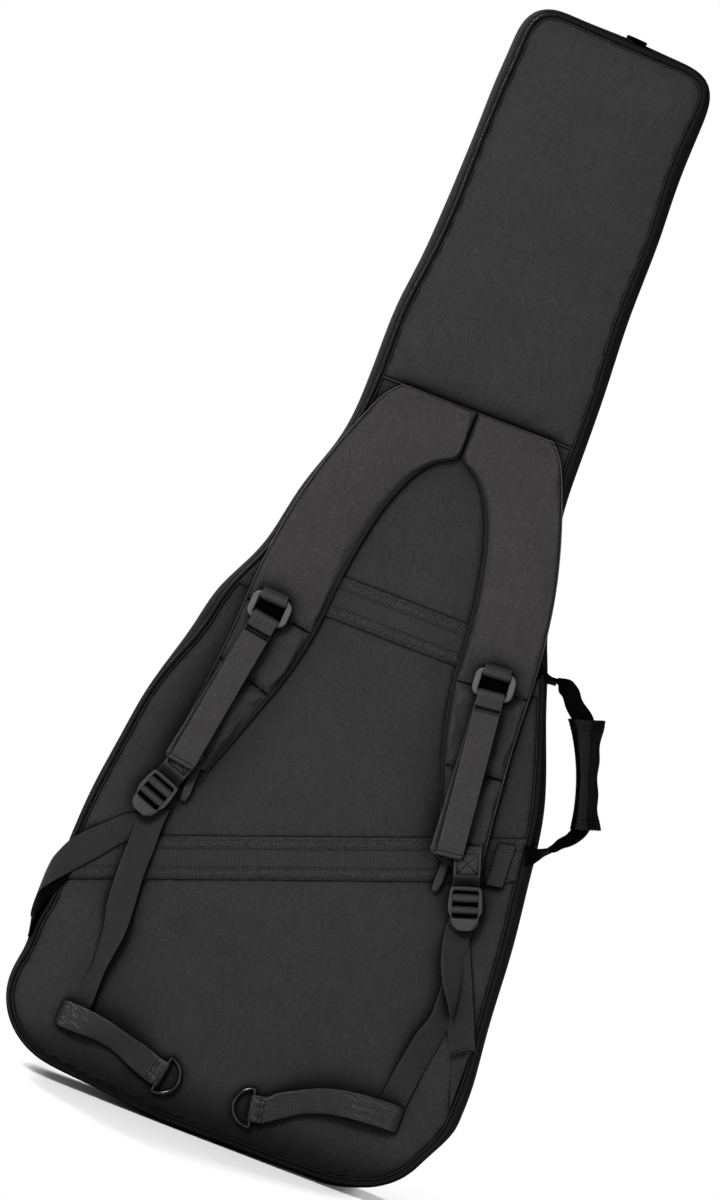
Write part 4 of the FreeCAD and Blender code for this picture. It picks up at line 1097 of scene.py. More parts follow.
def shoulder_pad(side, seams):
    """Foam pad in woven cloth: crowned, pinched at its cross seams, with a corded outer edge."""
    inner, outer = pad_sides(side)
    slit = ease(inner[:, 1], 668, 682)
    inner[:, 0] *= 1 - 0.45 * slit          # the two pads all but touch above the arch
    t = np.linspace(0, 1, PAD_ROWS + 1)[:, None]
    v = bunched(PAD_COLS + 1, 0.6)[None, :]

    def across(inner, outer):
        """Grid of (x, z) between two edges."""
        return (inner[:, None] + (outer - inner)[:, None] * v[..., None]).transpose(2, 0, 1)

    def layer(y, x, z):
        """Grid at a depth, its columns from left to right on either pad."""
        grid = np.stack([x, np.broadcast_to(y, x.shape), z], axis=2)
        return grid[:, ::-1] if side == "left" else grid

    x, z = across(inner, outer)
    width = np.linalg.norm(outer - inner, axis=1)[:, None]
    rim = np.minimum(v * (1 + 2.0 * slit[:, None]), 1 - v) * width
    end, start = (1 - t) * 400, t * 400
    roll = np.sqrt(1 - np.clip(1 - rim / 5.0, 0, 1) ** 2) * 0.45 + 0.55 * (1 - np.exp(-rim / 12.0))
    height = PAD_RISE * roll * (0.62 + 0.38 * ease(end, 0, 34)) * (0.5 + 0.5 * ease(start, 0, 46))
    height = height * (1 - 0.12 * ease(start, 0, 40) * (1 - ease(start, 60, 150)))
    tight = (rim < 0.5) | (end < 2) | (start < 2)
    for level_in, level_out, depth in seams:
        a, b = seam_share(inner, outer, level_in, level_out)
        off = (t - (a + (b - a) * v)) * PAD_LONG
        height = height - depth * (bump(off, 0, 1.8) + 0.45 * bump(off, 0, 9)) * ease(rim, 0, 3)
        tight = tight | (np.abs(off) < 1.6)
    for level, way in PAD_CREASES[side]:
        place = np.interp(-level, -inner[:, 1], t[:, 0])
        off = (t - place) * PAD_LONG - way * v * width
        height = height - 0.9 * bump(off, 0, 2.6) * bump(v * width, 9, 11)
    height = height + 0.35 * ripple(x, z, 41 if side == "left" else 43, 75) * ease(rim, 2, 14)
    base = PAD_LOW - 1.5
    top, under = layer(base - 1.2 - np.maximum(height - 1.2, 0.0), x, z), layer(base, x, z)
    start = Shape()
    solid_between(start, top, under, kinds=(0, 0))
    pinned = np.concatenate([(tight if side == "right" else tight[:, ::-1]).ravel(), np.ones(x.size, bool)])
    top = plump(start, pinned, PAD_PRESSURE, 2.6, swell=0.012)[:x.size].reshape(top.shape)
    body = f"{side}_strap"
    shape = Shape()
    solid_between(shape, top, under, kinds=(0, 0))
    subdivide(finish_piece(f"{side}_pad_cloth", shape, body, [PAD], [f"{side}_shoulder_pad"]))

    # spacer mesh on the side that lies on the wearer's back, a little proud of the cloth at the inner edge
    grow = unit(inner - outer) * (3.3 - 3.1 * ease(inner[:, 1:], 625, 672))
    x, z = across(inner + grow, outer - grow * 0.1)
    lip = np.exp(-rim / 1.6) * 0.4
    shape = Shape()
    solid_between(shape, layer(base - 1.0 + lip, x, z), layer(PAD_LOW - lip, x, z), kinds=(0, 0))
    finish_piece(f"{side}_pad_knit", shape, body, [KNIT], [f"{side}_pad_mesh"])

    # fine rolled edge along the outside and the top, drawn lighter than the pad as painted highlight
    shape = Shape()
    line = np.vstack([inner[:1] * [1.4, 1], outer])
    lift = base - 2.0 - 0.25 * ripple(line[:, 0], line[:, 1], 47, 60)
    tube(shape, at_depth(line, lift), 0.7, sides=8)
    # thread pulled into each cross seam
    for level_in, level_out, _ in seams:
        a, b = seam_share(inner, outer, level_in, level_out)
        place = (a + (b - a) * v[0]) * PAD_ROWS
        row = place.astype(int)
        columns = np.arange(PAD_COLS + 1)[::1 if side == "right" else -1]
        near, far = top[row, columns], top[row + 1, columns]
        path = near + (far - near) * (place - row)[:, None] + OUT * 1.0
        tube(shape, path[1:-1], 0.6, sides=6, kinds=1)
    finish_piece(f"{side}_pad_cord", shape, body, [PALE_CORD_AND_HIGHLIGHT, THREAD])
    # stitches just inside the outer edge
    thread = Shape()
    stitches(thread, top[3:-3, 1 if side == "left" else -2] + OUT * 0.1, OUT, long=2.6, gap=1.6, radius=0.27)
    finish_piece(f"{side}_pad_stitches", thread, body, [PAD])


# cross seams: level at the inner and the outer edge, depth. Creases: level, slant
PAD_SEAMS = {"left": [(470, 480, 4.6), (403, 420, 4.4)], "right": [(478, 484, 4.2), (402, 407, 4.0)]}
PAD_CREASES = {"left": ((634, 0.35), (612, 0.2), (578, -0.3)), "right": ((628, 0.3), (604, 0.0), (585, -0.2))}
for side, seams in PAD_SEAMS.items():
    shoulder_pad(side, seams)


# ---------------------------------------------------------------- rings, loops and ladder locks

EYE = 4.3                                   # middle of webbing that wraps a bar
PAD_FACE = PAD_LOW - 1.5 - PAD_RISE
LOOP_THICK = 4.0
TACK_HIGH, TACK_LOW = 11.5, 16.0            # rows of the bar tack below the ring's lower bar
LOCK_LONG, LOCK_WIDE, LOCK_THICK = 41.0, 31.0, 4.5
LOCK_TOP_BAR, LOCK_TONGUE = 5.5, 12.0
# Middle and half width of the two bars wrapped in webbing, from the middle of the lock
LOCK_BARS = ((9.9, 3.3), (-1.2, 2.9))


def arc(radius, start, end, count):
    """Points (up, out) on a circle about a bar, angles in degrees from straight out towards up."""
    angle = np.radians(np.linspace(start, end, count))
    return (radius * np.stack([np.sin(angle), np.cos(angle)], axis=1)).tolist()


def web_on(spot, path, half=WEB / 2, drift=None, thick=WEB_THICK, count=70):
    """Ribbon that follows (up, out) points of a spot, as wide as the webbing. drift shifts it across."""
    path = np.asarray(path, float)
    drift = np.zeros(len(path)) if drift is None else np.asarray(drift, float)
    shape = Shape()
    ribbon(shape, spot.at(drift, path[:, 0], path[:, 1]), np.tile(spot.across * half, (len(path), 1)),
           thick=thick, count=count)
    return shape


def ring_keeper(side):
    """Short loop of webbing that holds the ring's upper bar on the pad, over a near-black strip behind the
    ring's gap that is painted shade.
    """
    spot = hinge_spot(f"{side}_ring_hinge")
    rest = spot.origin[1] - PAD_FACE        # how far the pad's face lies behind the bar (negative)
    path = [(6.8, rest - 1.6), (6.7, rest + 0.6), (6.0, -0.6), *arc(EYE, 52, -200, 12),
            (4.5, rest + 1.4), (5.4, rest - 1.8)]
    shape = web_on(spot, path, thick=1.4, count=90)
    # near-black strip behind the ring: painted shade in the gap between its bars
    ribbon(shape, spot.at([0] * 5, [6, -2, -12, -22, -28], rest + np.array([0.2, 0.9, 0.9, 0.9, 0.2])),
           np.tile(spot.across * (WEB / 2 - 0.6), (5, 1)), thick=1.2, count=24, kinds=1)
    finish_piece(f"{side}_keeper_web", shape, f"{side}_strap", [STRAP, HANDLE_AND_SHADE_WEB],
                 [f"{side}_ring_keeper"])


def thumb_loop(side, swing, skew):
    """Two layers of webbing hanging from the ring's lower bar, tacked below it and folded at the bottom."""
    spot = hinge_spot(f"{side}_loop_hinge", turn=-swing)
    low = node_box(f"{side}_thumb_loop")[0][2]
    long = (spot.origin[2] - low) / math.cos(math.radians(swing)) - 2.2
    gap = LOOP_THICK / 2 - 0.8
    front = [(-long * share, gap + 1.3 * math.sin(PI * share)) for share in (0.97, 0.8, 0.6, 0.4, 0.2, 0.125)]
    front += [(-TACK_LOW, gap - 0.1), (-TACK_HIGH, gap)]
    back = [(-long * share, -gap - 0.2 - 0.3 * math.sin(PI * share))
            for share in (0.09, 0.2, 0.4, 0.6, 0.8, 0.97)]
    top = arc(EYE, -35, 215, 12)
    path = [(-long + 0.6, gap * 0.4)] + front + top + back + [(-long + 0.4, -gap * 0.6)]
    share = np.clip([-point[0] / long for point in path], 0, 1)
    behind = np.concatenate([np.zeros(1 + len(front)), np.linspace(0, 0.05, len(top)), np.ones(len(back) + 1)])
    shape = web_on(spot, path, drift=-skew * share * behind, count=170)
    # the fold that joins the two layers at the bottom
    fold = np.array([(1.5, 1), (-0.9, 0.8), (-1.9, 0.0), (-0.9, -0.8), (1.5, -1)])
    drift = -skew * np.array([0.0, 0.2, 0.5, 0.8, 1.0])
    ribbon(shape, spot.at(drift, fold[:, 0] - long, fold[:, 1] * gap),
           np.tile(spot.across * WEB / 2, (5, 1)), count=14)
    body = f"{side}_thumb_loop"
    finish_piece(f"{side}_thumb_web", shape, body, [STRAP], [body])
    thread = Shape()
    across = np.linspace(-11.6, 11.6, 21)
    zigzag = -TACK_HIGH - 1.3 + 1.2 * np.cos(np.arange(21) * PI)
    tube(thread, spot.at(across, zigzag, gap + 1.0), 0.5, sides=6)
    line = spot.at(np.linspace(-11.8, 11.8, 16), -TACK_LOW + 0.2 * np.cos(np.arange(16) * PI), gap + 0.9)
    if side == "left":
        tube(thread, line, 0.6, sides=6)
    else:
        stitches(thread, line, OUT, long=1.2, gap=1.6, radius=0.4)
    finish_piece(f"{side}_thumb_stitches", thread, body, [THREAD])


def box_stitch(spot, half_across, low, high, out):
    """Square of stitches with a cross in it."""
    thread = Shape()
    corners = [(-half_across, low), (half_across, low), (half_across, high), (-half_across, high)]
    lines = list(zip(corners, corners[1:] + corners[:1])) + [(corners[0], corners[2]), (corners[1], corners[3])]
    for (a, b), (c, d) in lines:
        line = spot.at(np.linspace(a, c, 8), np.linspace(b, d, 8), out)
        stitches(thread, line, OUT, long=2.1, gap=1.0, radius=0.36)
    return thread


def buckle_webbing(side):
    """Webbing sewn on the pad's tip with a crossed box, led behind the lock's top bar."""
    spot = hinge_spot(f"{side}_lock_hinge")
    face = spot.origin[1] - (PAD_FACE - 1.2)
    path = [(40.0, face - 1.0), (34.0, face + 0.4), (24.0, face + 0.5), (13.0, face - 1.0), (6.5, -3.0),
            (2.5, -4.6), (0.0, -4.8)]
    shape, body = web_on(spot, path, thick=1.4, count=80), f"{side}_strap"
    finish_piece(f"{side}_buckle_web", shape, body, [STRAP], [f"{side}_buckle_webbing"])
    thread = box_stitch(spot, 9.5, 14.5, 33.0, face + 1.3)
    finish_piece(f"{side}_buckle_stitches", thread, body, [THREAD])


def evaluated_mesh(thing):
    """Mesh of an object with its modifiers or bevel. The object is removed."""
    mesh = bpy.data.meshes.new_from_object(thing.evaluated_get(bpy.context.evaluated_depsgraph_get()))
    bpy.data.objects.remove(thing)
    return mesh


def plate(shape, loops, thick, bevel, spot):
    """Moulded flat part with rounded edges: an outline and its holes, given as (across, up) loops."""
    curve = bpy.data.curves.new("plate", "CURVE")
    curve.dimensions = "2D"
    curve.fill_mode = "BOTH"
    curve.extrude = thick / 2 - bevel
    curve.bevel_depth = bevel
    curve.bevel_resolution = 3
    curve.offset = -bevel
    for loop in loops:
        spline = curve.splines.new("POLY")
        spline.points.add(len(loop) - 1)
        spline.points.foreach_set("co", [value for x, z in loop for value in (x, z, 0.0, 1.0)])
        spline.use_cyclic_u = True
    mesh = evaluated_mesh(put("plate", curve))
    welded, seen, index = [], {}, []
    for vertex in mesh.vertices:
        key = tuple(round(value, 3) for value in vertex.co)
        if key not in seen:
            seen[key] = len(welded)
            welded.append(key)
        index.append(seen[key])
    faces = [tuple(dict.fromkeys(index[v] for v in polygon.vertices)) for polygon in mesh.polygons]
    return shape.add(spot.at(*np.array(welded).T), [face for face in faces if len(face) > 2])


def rounded_box(half_across, half_up, radius, middle_up, barrel):
    """Rectangle with round corners as (across, up) points. barrel bows its sides outwards."""
    points = []
    for sx, su, start in ((1, -1, -90), (1, 1, 0), (-1, 1, 90), (-1, -1, 180)):
        for angle in np.radians(np.linspace(start, start + 90, 8)):
            points.append((sx * (half_across - radius) + radius * math.cos(angle),
                           su * (half_up - radius) + radius * math.sin(angle)))
    points = np.array(points)
    bow = barrel * (1 - np.clip(points[:, 1] / half_up, -1, 1) ** 2)
    points[:, 0] += np.sign(points[:, 0]) * bow
    return points + [0.0, middle_up]


def ladder_lock(side):
    """Moulded buckle: barrel-shaped frame round two wrapped bars, a round top bar and a dished tongue."""
    hinge = hinge_spot(f"{side}_lock_hinge")
    middle = Spot(hinge.at(0.0, -(LOCK_LONG - LOCK_TOP_BAR) / 2), hinge.across)
    half = LOCK_LONG / 2
    shoulder = -half + LOCK_TONGUE
    turn = np.linspace(0.0, PI / 2, 18)[:-1]
    drop = np.linspace(half - 3.4, shoulder, 20)
    body = LOCK_WIDE / 2 + 0.4 - 2.6 * np.clip((drop - 2.0) / half, -1, 1) ** 2 - 2.2 * ease(-drop, 1.0, 9.0)
    tongue = np.stack([2.0 + (body[-1] - 2.0) * np.cos(turn) ** 0.8,
                       shoulder - LOCK_TONGUE * np.sin(turn)], axis=1)
    corner = np.array([(body[0] - 3.4 + 3.4 * math.cos(a), half - 3.4 + 3.4 * math.sin(a))
                       for a in np.linspace(PI / 2, 0.1, 8)])
    low = np.array([(x, -half) for x in (1.4, 0.7, 0.0)])
    one = np.vstack([corner, np.stack([body, drop], axis=1)[1:], tongue[1:], low])
    loop = np.vstack([one, (one * [-1, 1])[-2:0:-1], (one * [-1, 1])[:1]])[::-1]
    top = half - LOCK_TOP_BAR + 1.6
    opening = rounded_box(WEB / 2 - 1.0, (top - shoulder) / 2, 1.2, (top + shoulder) / 2, 1.6)
    shape = Shape()
    plate(shape, [loop, opening[::-1]], LOCK_THICK - 0.9, 0.9, middle)
    across = np.linspace(-13.4, 13.4, 11)
    for level, _ in LOCK_BARS:
        tube(shape, middle.at(across, level, -0.5), 1.5, sides=10)
    # round top bar, proud of the frame
    bar = half - LOCK_TOP_BAR / 2 + 1.0
    across = np.linspace(-12.4, 12.4, 15)
    tube(shape, middle.at(across, bar + 0.35 * np.cos(across / 12.4 * PI / 2), 1.0),
         1.75 * np.sqrt(1.02 - (across / 12.7) ** 8), sides=14)
    # dished thumb tongue
    rings = []
    spots = np.linspace(-1, 1, 17)
    for level in np.linspace(shoulder - 0.4, -half + 0.6, 14):
        reach = np.clip((shoulder - level) / LOCK_TONGUE, 0, 1)
        width = 2.0 + (body[-1] - 2.0) * (1 - reach ** 2) ** 0.4 - 1.2
        rise = 1.0 * np.sqrt(1 - spots ** 6) * min(1.0, 0.3 + reach * 4)
        curl = 1.1 * reach ** 2
        rings.append(np.vstack([middle.at(spots * width, level, 1.6 + rise + curl),
                                middle.at(spots[::-1] * width, level, 0.4 + 0 * spots)]))
    loft(shape, np.array(rings))
    finish_piece(f"{side}_lock_moulding", shape, f"{side}_ladder_lock", [LOCK],
                 [f"{side}_ladder_lock"])

    # webbing wrapped over each of the two bars
    web = Shape()
    for level, reach in LOCK_BARS:
        half_path = [(reach - 0.2, -3.4), (reach + 0.2, -1.6), (reach, 0.2), (reach * 0.6, 1.2)]
        path = half_path + [(0.0, 1.5)] + [(-up, out) for up, out in half_path[::-1]]
        ribbon(web, [middle.at(0.0, level + up, out) for up, out in path],
               np.tile(middle.across * (WEB / 2 - 0.4), (9, 1)), thick=1.0, count=46)
    finish_piece(f"{side}_lock_web", web, f"{side}_ladder_lock", [STRAP])
    # a near-black sheet under the wraps, painted shade that shows in the gaps between them
    shade = web_on(middle, [(half - 3.4, -3.9), (0.0, -4.3), (shoulder + 1.0, -3.9)],
                   half=WEB / 2 + 0.2, thick=0.8, count=12)
    finish_piece(f"{side}_lock_gap_shade", shade, f"{side}_ladder_lock", [HANDLE_AND_SHADE_WEB])


THUMB = {"left": (6.2, 5.0), "right": (-1.9, 6.0)}
for strap in ("left", "right"):
    ring_keeper(strap)
    thumb_loop(strap, *THUMB[strap])
    buckle_webbing(strap)
    ladder_lock(strap)


# ---------------------------------------------------------------- strap tails and anchors

TAIL_Y = node_box("left_tail_webbing")[1][1] - 0.5
D_EYE = 2.6                                 # middle of webbing round the D-ring's bar


def flat_strap(rows):
    """Ribbon rows from (left x, right x, z, lift, turn) controls: the two visible edges at a height.

    A strap seen narrower than it is wide is turned about its own length, to the side that turn gives."""
    centres = np.stack([(rows[:, 0] + rows[:, 1]) / 2, TAIL_Y - rows[:, 3], rows[:, 2]], axis=1)
    seen = np.minimum((rows[:, 1] - rows[:, 0]) / 2, WEB / 2)
    hidden = np.minimum(np.sqrt((WEB / 2) ** 2 - seen ** 2), 3.5) * rows[:, 4]
    run = unit(np.gradient(centres[:, [0, 2]], axis=0))
    return centres, np.stack([-run[:, 1] * seen, -hidden, run[:, 0] * seen], axis=1)


def bent_strip(side, sign, bend):
    """Satin strip from the strap's lower fold to the D-ring. bend holds (x, z, lift, lean) from the ring."""
    half = WEB / 2
    ring = hinge_point(f"{side}_d_ring_hinge")
    axis = np.array(JOINTS[f"{side}_d_ring_hinge"]["axis"])
    axis = axis if axis[2] > 0 else -axis
    toward = np.cross(axis, OUT)
    toward = toward if toward[0] * sign > 0 else -toward
    rows = np.array(bend, float)
    centres = np.stack([ring[0] + rows[:, 0], TAIL_Y - rows[:, 2], ring[2] + rows[:, 1]], axis=1)
    lean, roll = np.radians(rows[:, 3:]).T
    halves = np.stack([np.cos(lean) * np.cos(roll), -np.sin(roll), np.sin(lean) * np.cos(roll)], axis=1) * half
    # the end wraps the ring's bar and lies back on itself
    angle = np.radians(np.linspace(75, -110, 8))
    wrap = ring + D_EYE * (np.cos(angle)[:, None] * toward + np.sin(angle)[:, None] * OUT)
    tuck = [ring - toward * 7 - OUT * 2.2, ring - toward * 13 - OUT * 1.6]
    centres = np.vstack([centres, ring - toward * 9 + OUT * 2.0, ring - toward * 3.5 + OUT * 2.8, wrap, tuck])
    ends = np.tile(axis * half, (len(centres) - len(halves), 1))
    shape = Shape()
    ribbon(shape, centres, np.vstack([halves, ends]), count=150, thick=1.4)
    finish_piece(f"{side}_tail_strip", shape, f"{side}_tail", [SATIN])
    thread = Shape()
    for back in (7.2, 10.4):
        line = (ring - toward * back + OUT * 3.0)[None] + np.linspace(-10.5, 10.5, 10)[:, None] * axis
        stitches(thread, line, OUT, long=2.0, gap=1.0, radius=0.4)
    finish_piece(f"{side}_tail_stitches", thread, f"{side}_tail", [THREAD])


def tail(side, drops):
    """Hanging part of a strap's loose end, one or two lengths of webbing."""
    lock = hinge_point(f"{side}_tail_hinge")
    shape = Shape()
    for drop in drops:
        rows = np.array(drop, float) + [lock[0], lock[0], lock[2], 0, 0]
        ribbon(shape, *flat_strap(rows), count=110)
    finish_piece(f"{side}_tail_web", shape, f"{side}_tail", [TAIL], [f"{side}_tail_webbing"])


# (left edge, right edge, height) from the lock's tongue, lift off the bag, and which way it turns
LEFT_DROP = [(3, 27, 14, -0.6, 1), (1.5, 26, 0, 0.0, 1), (0.5, 27.5, -20, 1.4, 1), (1, 27, -55, 3.0, 1),
             (4, 29, -88, 4.6, 1), (8, 29.5, -107, 5.6, 1), (10, 27, -126, 5.4, 1), (11, 24.5, -146, 4.0, 1),
             (5, 24.5, -172, 2.0, 1), (0.5, 24.5, -190, 0.6, 1), (0, 24.5, -200, 0.0, 1)]
RIGHT_DROP = [(-17, 7, 12, -0.6, -1), (-17, 8, -2, 0.4, -1), (-12, 11, -25, 2.6, -1),
              (-1.5, 15.5, -48, 4.4, -1), (9, 18.5, -64, 5.4, -1), (17, 19.5, -77, 5.0, -1)]
RIGHT_UNDER = [(-5, 14, -36, 0.6, -1), (-2, 19, -52, 1.0, -1), (-1, 19.5, -70, 1.6, -1),
               (-1.5, 19, -84, 2.2, -1),
               (-7, 17, -102, 2.4, -1), (-12, 12.5, -128, 2.0, -1), (-16, 9.5, -155, 1.2, -1),
               (-19, 7, -180, 0.4, -1), (-20, 6, -192, 0.0, -1)]
# (x, z) from the D-ring's bar, lift, and lean and roll of the strip's width
LEFT_BEND = [(-108, 20.5, 1.6, 88, 0), (-104, 20.2, 5.2, 88, 0), (-88, 20.0, 9.0, 86, 4),
             (-66, 18.4, 10.2, 79, 24), (-45, 13.6, 9.0, 72, 28), (-27, 8.0, 6.6, 72, 8)]
RIGHT_BEND = [(131, 38.0, 1.6, 91, 0), (127, 38.2, 5.0, 90, 0), (106, 37.6, 9.4, 92, 2),
              (84, 35.6, 10.8, 96, 6),
              (62, 31.0, 10.2, 106, 14), (40, 21.6, 8.4, 113, 20), (22, 10.5, 6.0, 112, 8)]
tail("left", [LEFT_DROP])
tail("right", [RIGHT_DROP, RIGHT_UNDER])
bent_strip("left", 1, LEFT_BEND)
bent_strip("right", -1, RIGHT_BEND)


def anchors():
    """Lower webbing of each strap, from behind the lock to where it is sewn into the side."""
    y = BACK_Y - 3.0
    lock = hinge_point("left_tail_hinge")
    side_x = node_box("left_anchor_webbing")[0][0]
    # upper and lower edge as (x, z), and depth behind the face: flat on the back, then round the side wall
    pairs = [(7, 4, 20, -19, 0), (-8.5, -4, 1.5, -27.5, 0), (-25, -19, -16.5, -48, 0),
             (-42, -36, -34.5, -69, -0.4), (-52.5, -52, -53.0, -91, -0.6)]
    edges = [((lock[0] + ux, y + deep, lock[2] + uz), (lock[0] + lx, y + deep, lock[2] + lz))
             for ux, uz, lx, lz, deep in pairs]
    for out, deep, high, low in ((2.2, 4, -64, -98), (0.2, 12, -76, -110), (0.0, 26, -86, -122),
                                 (0.8, 40, -92, -128)):
        edges.append(((side_x + out, y + deep, lock[2] + high), (side_x + out - 0.2, y + deep, lock[2] + low)))
    edges = np.array(edges)
    shape = Shape()
    ribbon(shape, edges.mean(axis=1), (edges[:, 0] - edges[:, 1]) / 2, count=130)
    finish_piece("left_anchor_web", shape, "rear_shell", [TAIL], ["left_anchor_webbing"])

    lock = hinge_point("right_tail_hinge")
    run = unit(np.array([0.405, 0, -0.914]))
    across = np.array([-run[2], 0, run[0]])
    start = np.array([lock[0] - 4.0, y - 0.4, lock[2] - 8.0])
    centres = [start + run * step - OUT * dip
               for step, dip in ((0, 0), (28, 0), (56, 0), (84, 0.2), (104, 1.2))]
    shape = Shape()
    ribbon(shape, centres, [across * WEB / 2] * 5, count=80)
    finish_piece("right_anchor_web", shape, "rear_shell", [TAIL], ["right_anchor_webbing"])


def tabs():
    """Triangular tab under the right anchor, and the doubled cloth under the left one on the side wall."""
    points = node_points("anchor_tabs")
    right = points[points[:, 0] > 0]
    top_left = right[np.argmin(right[:, 0])]
    top_right = right[np.argmax(right[:, 2])]
    tip = right[np.argmin(right[:, 2])]
    share = np.linspace(0, 1, 25)[:, None, None]
    across = np.linspace(0, 1, 13)[None, :, None]
    grid = (top_left * (1 - across) + top_right * across) * (1 - share) + tip * share
    rise = 0.7 * np.sin(PI * across) * (1 - share)
    grid[..., 1] = BACK_Y - 2.6 - rise[..., 0]
    back = grid.copy()
    back[..., 1] = BACK_Y + 0.4
    shape = Shape()
    solid_between(shape, grid, back, kinds=(0, 0))
    # on the left it wraps from the strap side round the wall, drawn in near-black webbing as painted shade for
    # its underside in shadow
    left = points[points[:, 0] < 0]
    low, high = left.min(axis=0), left.max(axis=0)
    z = np.linspace(low[2] + 12, high[2], 30)
    wall = width_at(sag(BAG.inset(-1.0)), z)[0] - 3.0 * bump(z, 152, 22)
    reach = 0.5 + 0.25 * np.clip(z - 121, 0, 60)
    rows = []
    for x, level, flap in zip(wall, z, reach):
        rows.append([(x + flap, BACK_Y - 2.9, level), (x + flap * 0.5 + 1.2, BACK_Y - 3.1, level),
                     (x + 1.8, BACK_Y - 0.2, level), (x + 0.4, BACK_Y + 3.0, level), (x, BACK_Y + 10, level),
                     (x + 0.4, BACK_Y + 24, level), (x + 1.0, high[1], level)])
    rows = np.array(rows)[:, ::-1]
    uv = np.stack(np.broadcast_arrays(np.linspace(0, 50, 7)[None, :], z[:, None]), axis=2)
    solid_between(shape, rows, rows + unit([1.0, 1.0, 0.0]) * 1.4, kinds=(1, 1), uv=uv)
    finish_piece("anchor_tab_cloth", shape, "rear_shell", [TAIL, HANDLE_AND_SHADE_WEB], ["anchor_tabs"])
    thread = Shape()
    run = np.linspace(0.06, 0.94, 12)[:, None]
    for step in (0.06, 0.1):
        line = (top_left * (1 - run) + top_right * run) * (1 - step) + tip * step
        line[:, 1] = BACK_Y - 4.7
        stitches(thread, line, OUT, long=2.2, gap=1.0, radius=0.4)
    finish_piece("anchor_stitches", thread, "rear_shell", [THREAD])


anchors()
tabs()


# ---------------------------------------------------------------- handle and hang loop

GRIP_ROWS = 60


def handle_webbing(high, low, top_end, low_end, run):
    """Twisted webbing of the handle, from each root into the grip."""
    def rows(points):
        places = np.array([place for place, _, _ in points], float)
        tangent = unit(np.gradient(places, axis=0))
        normal = unit(np.cross(tangent, OUT))
        turn, half = (np.array([point[i] for point in points], float)[:, None] for i in (1, 2))
        turn = np.radians(turn)
        return places, half * (np.cos(turn) * normal + np.sin(turn) * OUT)

    y = high[1]
    upper = [(high + [-2.5, 0, -1.2], 74, 5.0), (high + [0.5, 0, -1.4], 68, 8.5), ((164.5, y, 509.2), 44, 10.2),
             ((172.5, y, 504.6), 20, 9.0), ((179.0, y, 496.5), 8, 8.6), (top_end + [-4.5, 0, -1], 4, 9.5),
             (top_end - run * 14, 0, 9.5)]
    lower = [(low_end + run * 14, 0, 9.0), (low_end + [-1, 0, 0], 0, 8.0), ((220.5, y, 378.0), -20, 6.2),
             ((213.5, y, 371.0), -58, 7.6), (low + [0.5, 0, 1.2], -70, 7.0), (low + [-2.5, 0, -0.6], -76, 5.0)]
    shape = Shape()
    for points in (upper, lower):
        ribbon(shape, *rows(points), thick=3.4, count=100)
    finish_piece("handle_web", shape, "handle", [HANDLE_AND_SHADE_WEB], ["handle_webbing"])


def grip(low_end, run, length):
    """Folded leather round the webbing: a flat front facet, pressed edges on the outside, flared ends."""
    side = np.array([run[2], 0.0, -run[0]])
    # section from the dark inner edge, over the front facet, down the outer slope to the pressed flap
    section = np.array([(-11.6, -3.0), (-12.2, 1.5), (-10.6, 6.2), (-7.6, 10.6), (-6.4, 11.3), (-2.0, 11.9),
                        (2.6, 11.8), (4.0, 11.2), (6.0, 8.6), (9.2, 4.6), (12.6, 1.6), (15.2, 0.4),
                        (16.0, -0.6), (15.0, -1.5), (11.4, -3.4), (7.0, -8.6), (0.0, -11.0), (-7.6, -9.4)])
    around = fair(sample_line(in_plane(np.vstack([section, section[:1]])), 73)[:-1][:, [0, 2]], 0.9)
    rings = []
    for share in np.linspace(0, 1, GRIP_ROWS):
        middle = low_end + run * length * share
        end = 2 * abs(share - 0.5)
        flap = np.clip(around[:, :1] - 6, 0, None) / 10
        flare = 1 + 0.10 * end ** 4 + flap * (0.10 * end ** 2 - 0.13 + 0.05 * math.sin(share * 21 + 1))
        bow = math.sin(PI * share)
        waist = np.where(around[:, 0] < 0, 0.88 + 0.48 * share - 0.42 * bow, 1.0 - 0.10 * bow)
        x = around[:, 0] * flare[:, 0] * waist + 1.2 * (0.5 - share)
        dent = 0.35 * np.sin(share * 17 + around[:, 0] * 0.35) * (around[:, 1] > 2)
        o = around[:, 1] * (1 + 0.04 * end ** 3) + dent
        rings.append(middle + x[:, None] * side + o[:, None] * OUT)
    rings = np.array(rings)
    spine = low_end + run * length * np.linspace(0, 1, GRIP_ROWS)[:, None, None]
    inner = (rings + (spine - rings) * 0.16)[::-1]
    ragged = 0.7 * np.sin(np.arange(len(around)) * 1.9)[None, :, None] * run
    skin = np.concatenate([rings[:1] - run * 0.5 - ragged, rings, rings[-1:] + run * 0.5 + ragged, inner])
    shape = Shape()
    loft(shape, skin[:, ::-1], path_closed=True)
    finish_piece("grip_leather", shape, "handle", [LEATHER], ["handle_grip"])
    thread = Shape()
    for share in (0.045, 0.085, 0.915, 0.955):
        number = int(round(share * (GRIP_ROWS - 1)))
        centre = low_end + run * length * share
        line = centre + (rings[number] - centre) * 1.012
        line = np.vstack([line, line[:1]])
        stitches(thread, line, unit(line - centre), long=2.4, gap=1.3, radius=0.4)
    finish_piece("grip_stitches", thread, "handle", [THREAD])


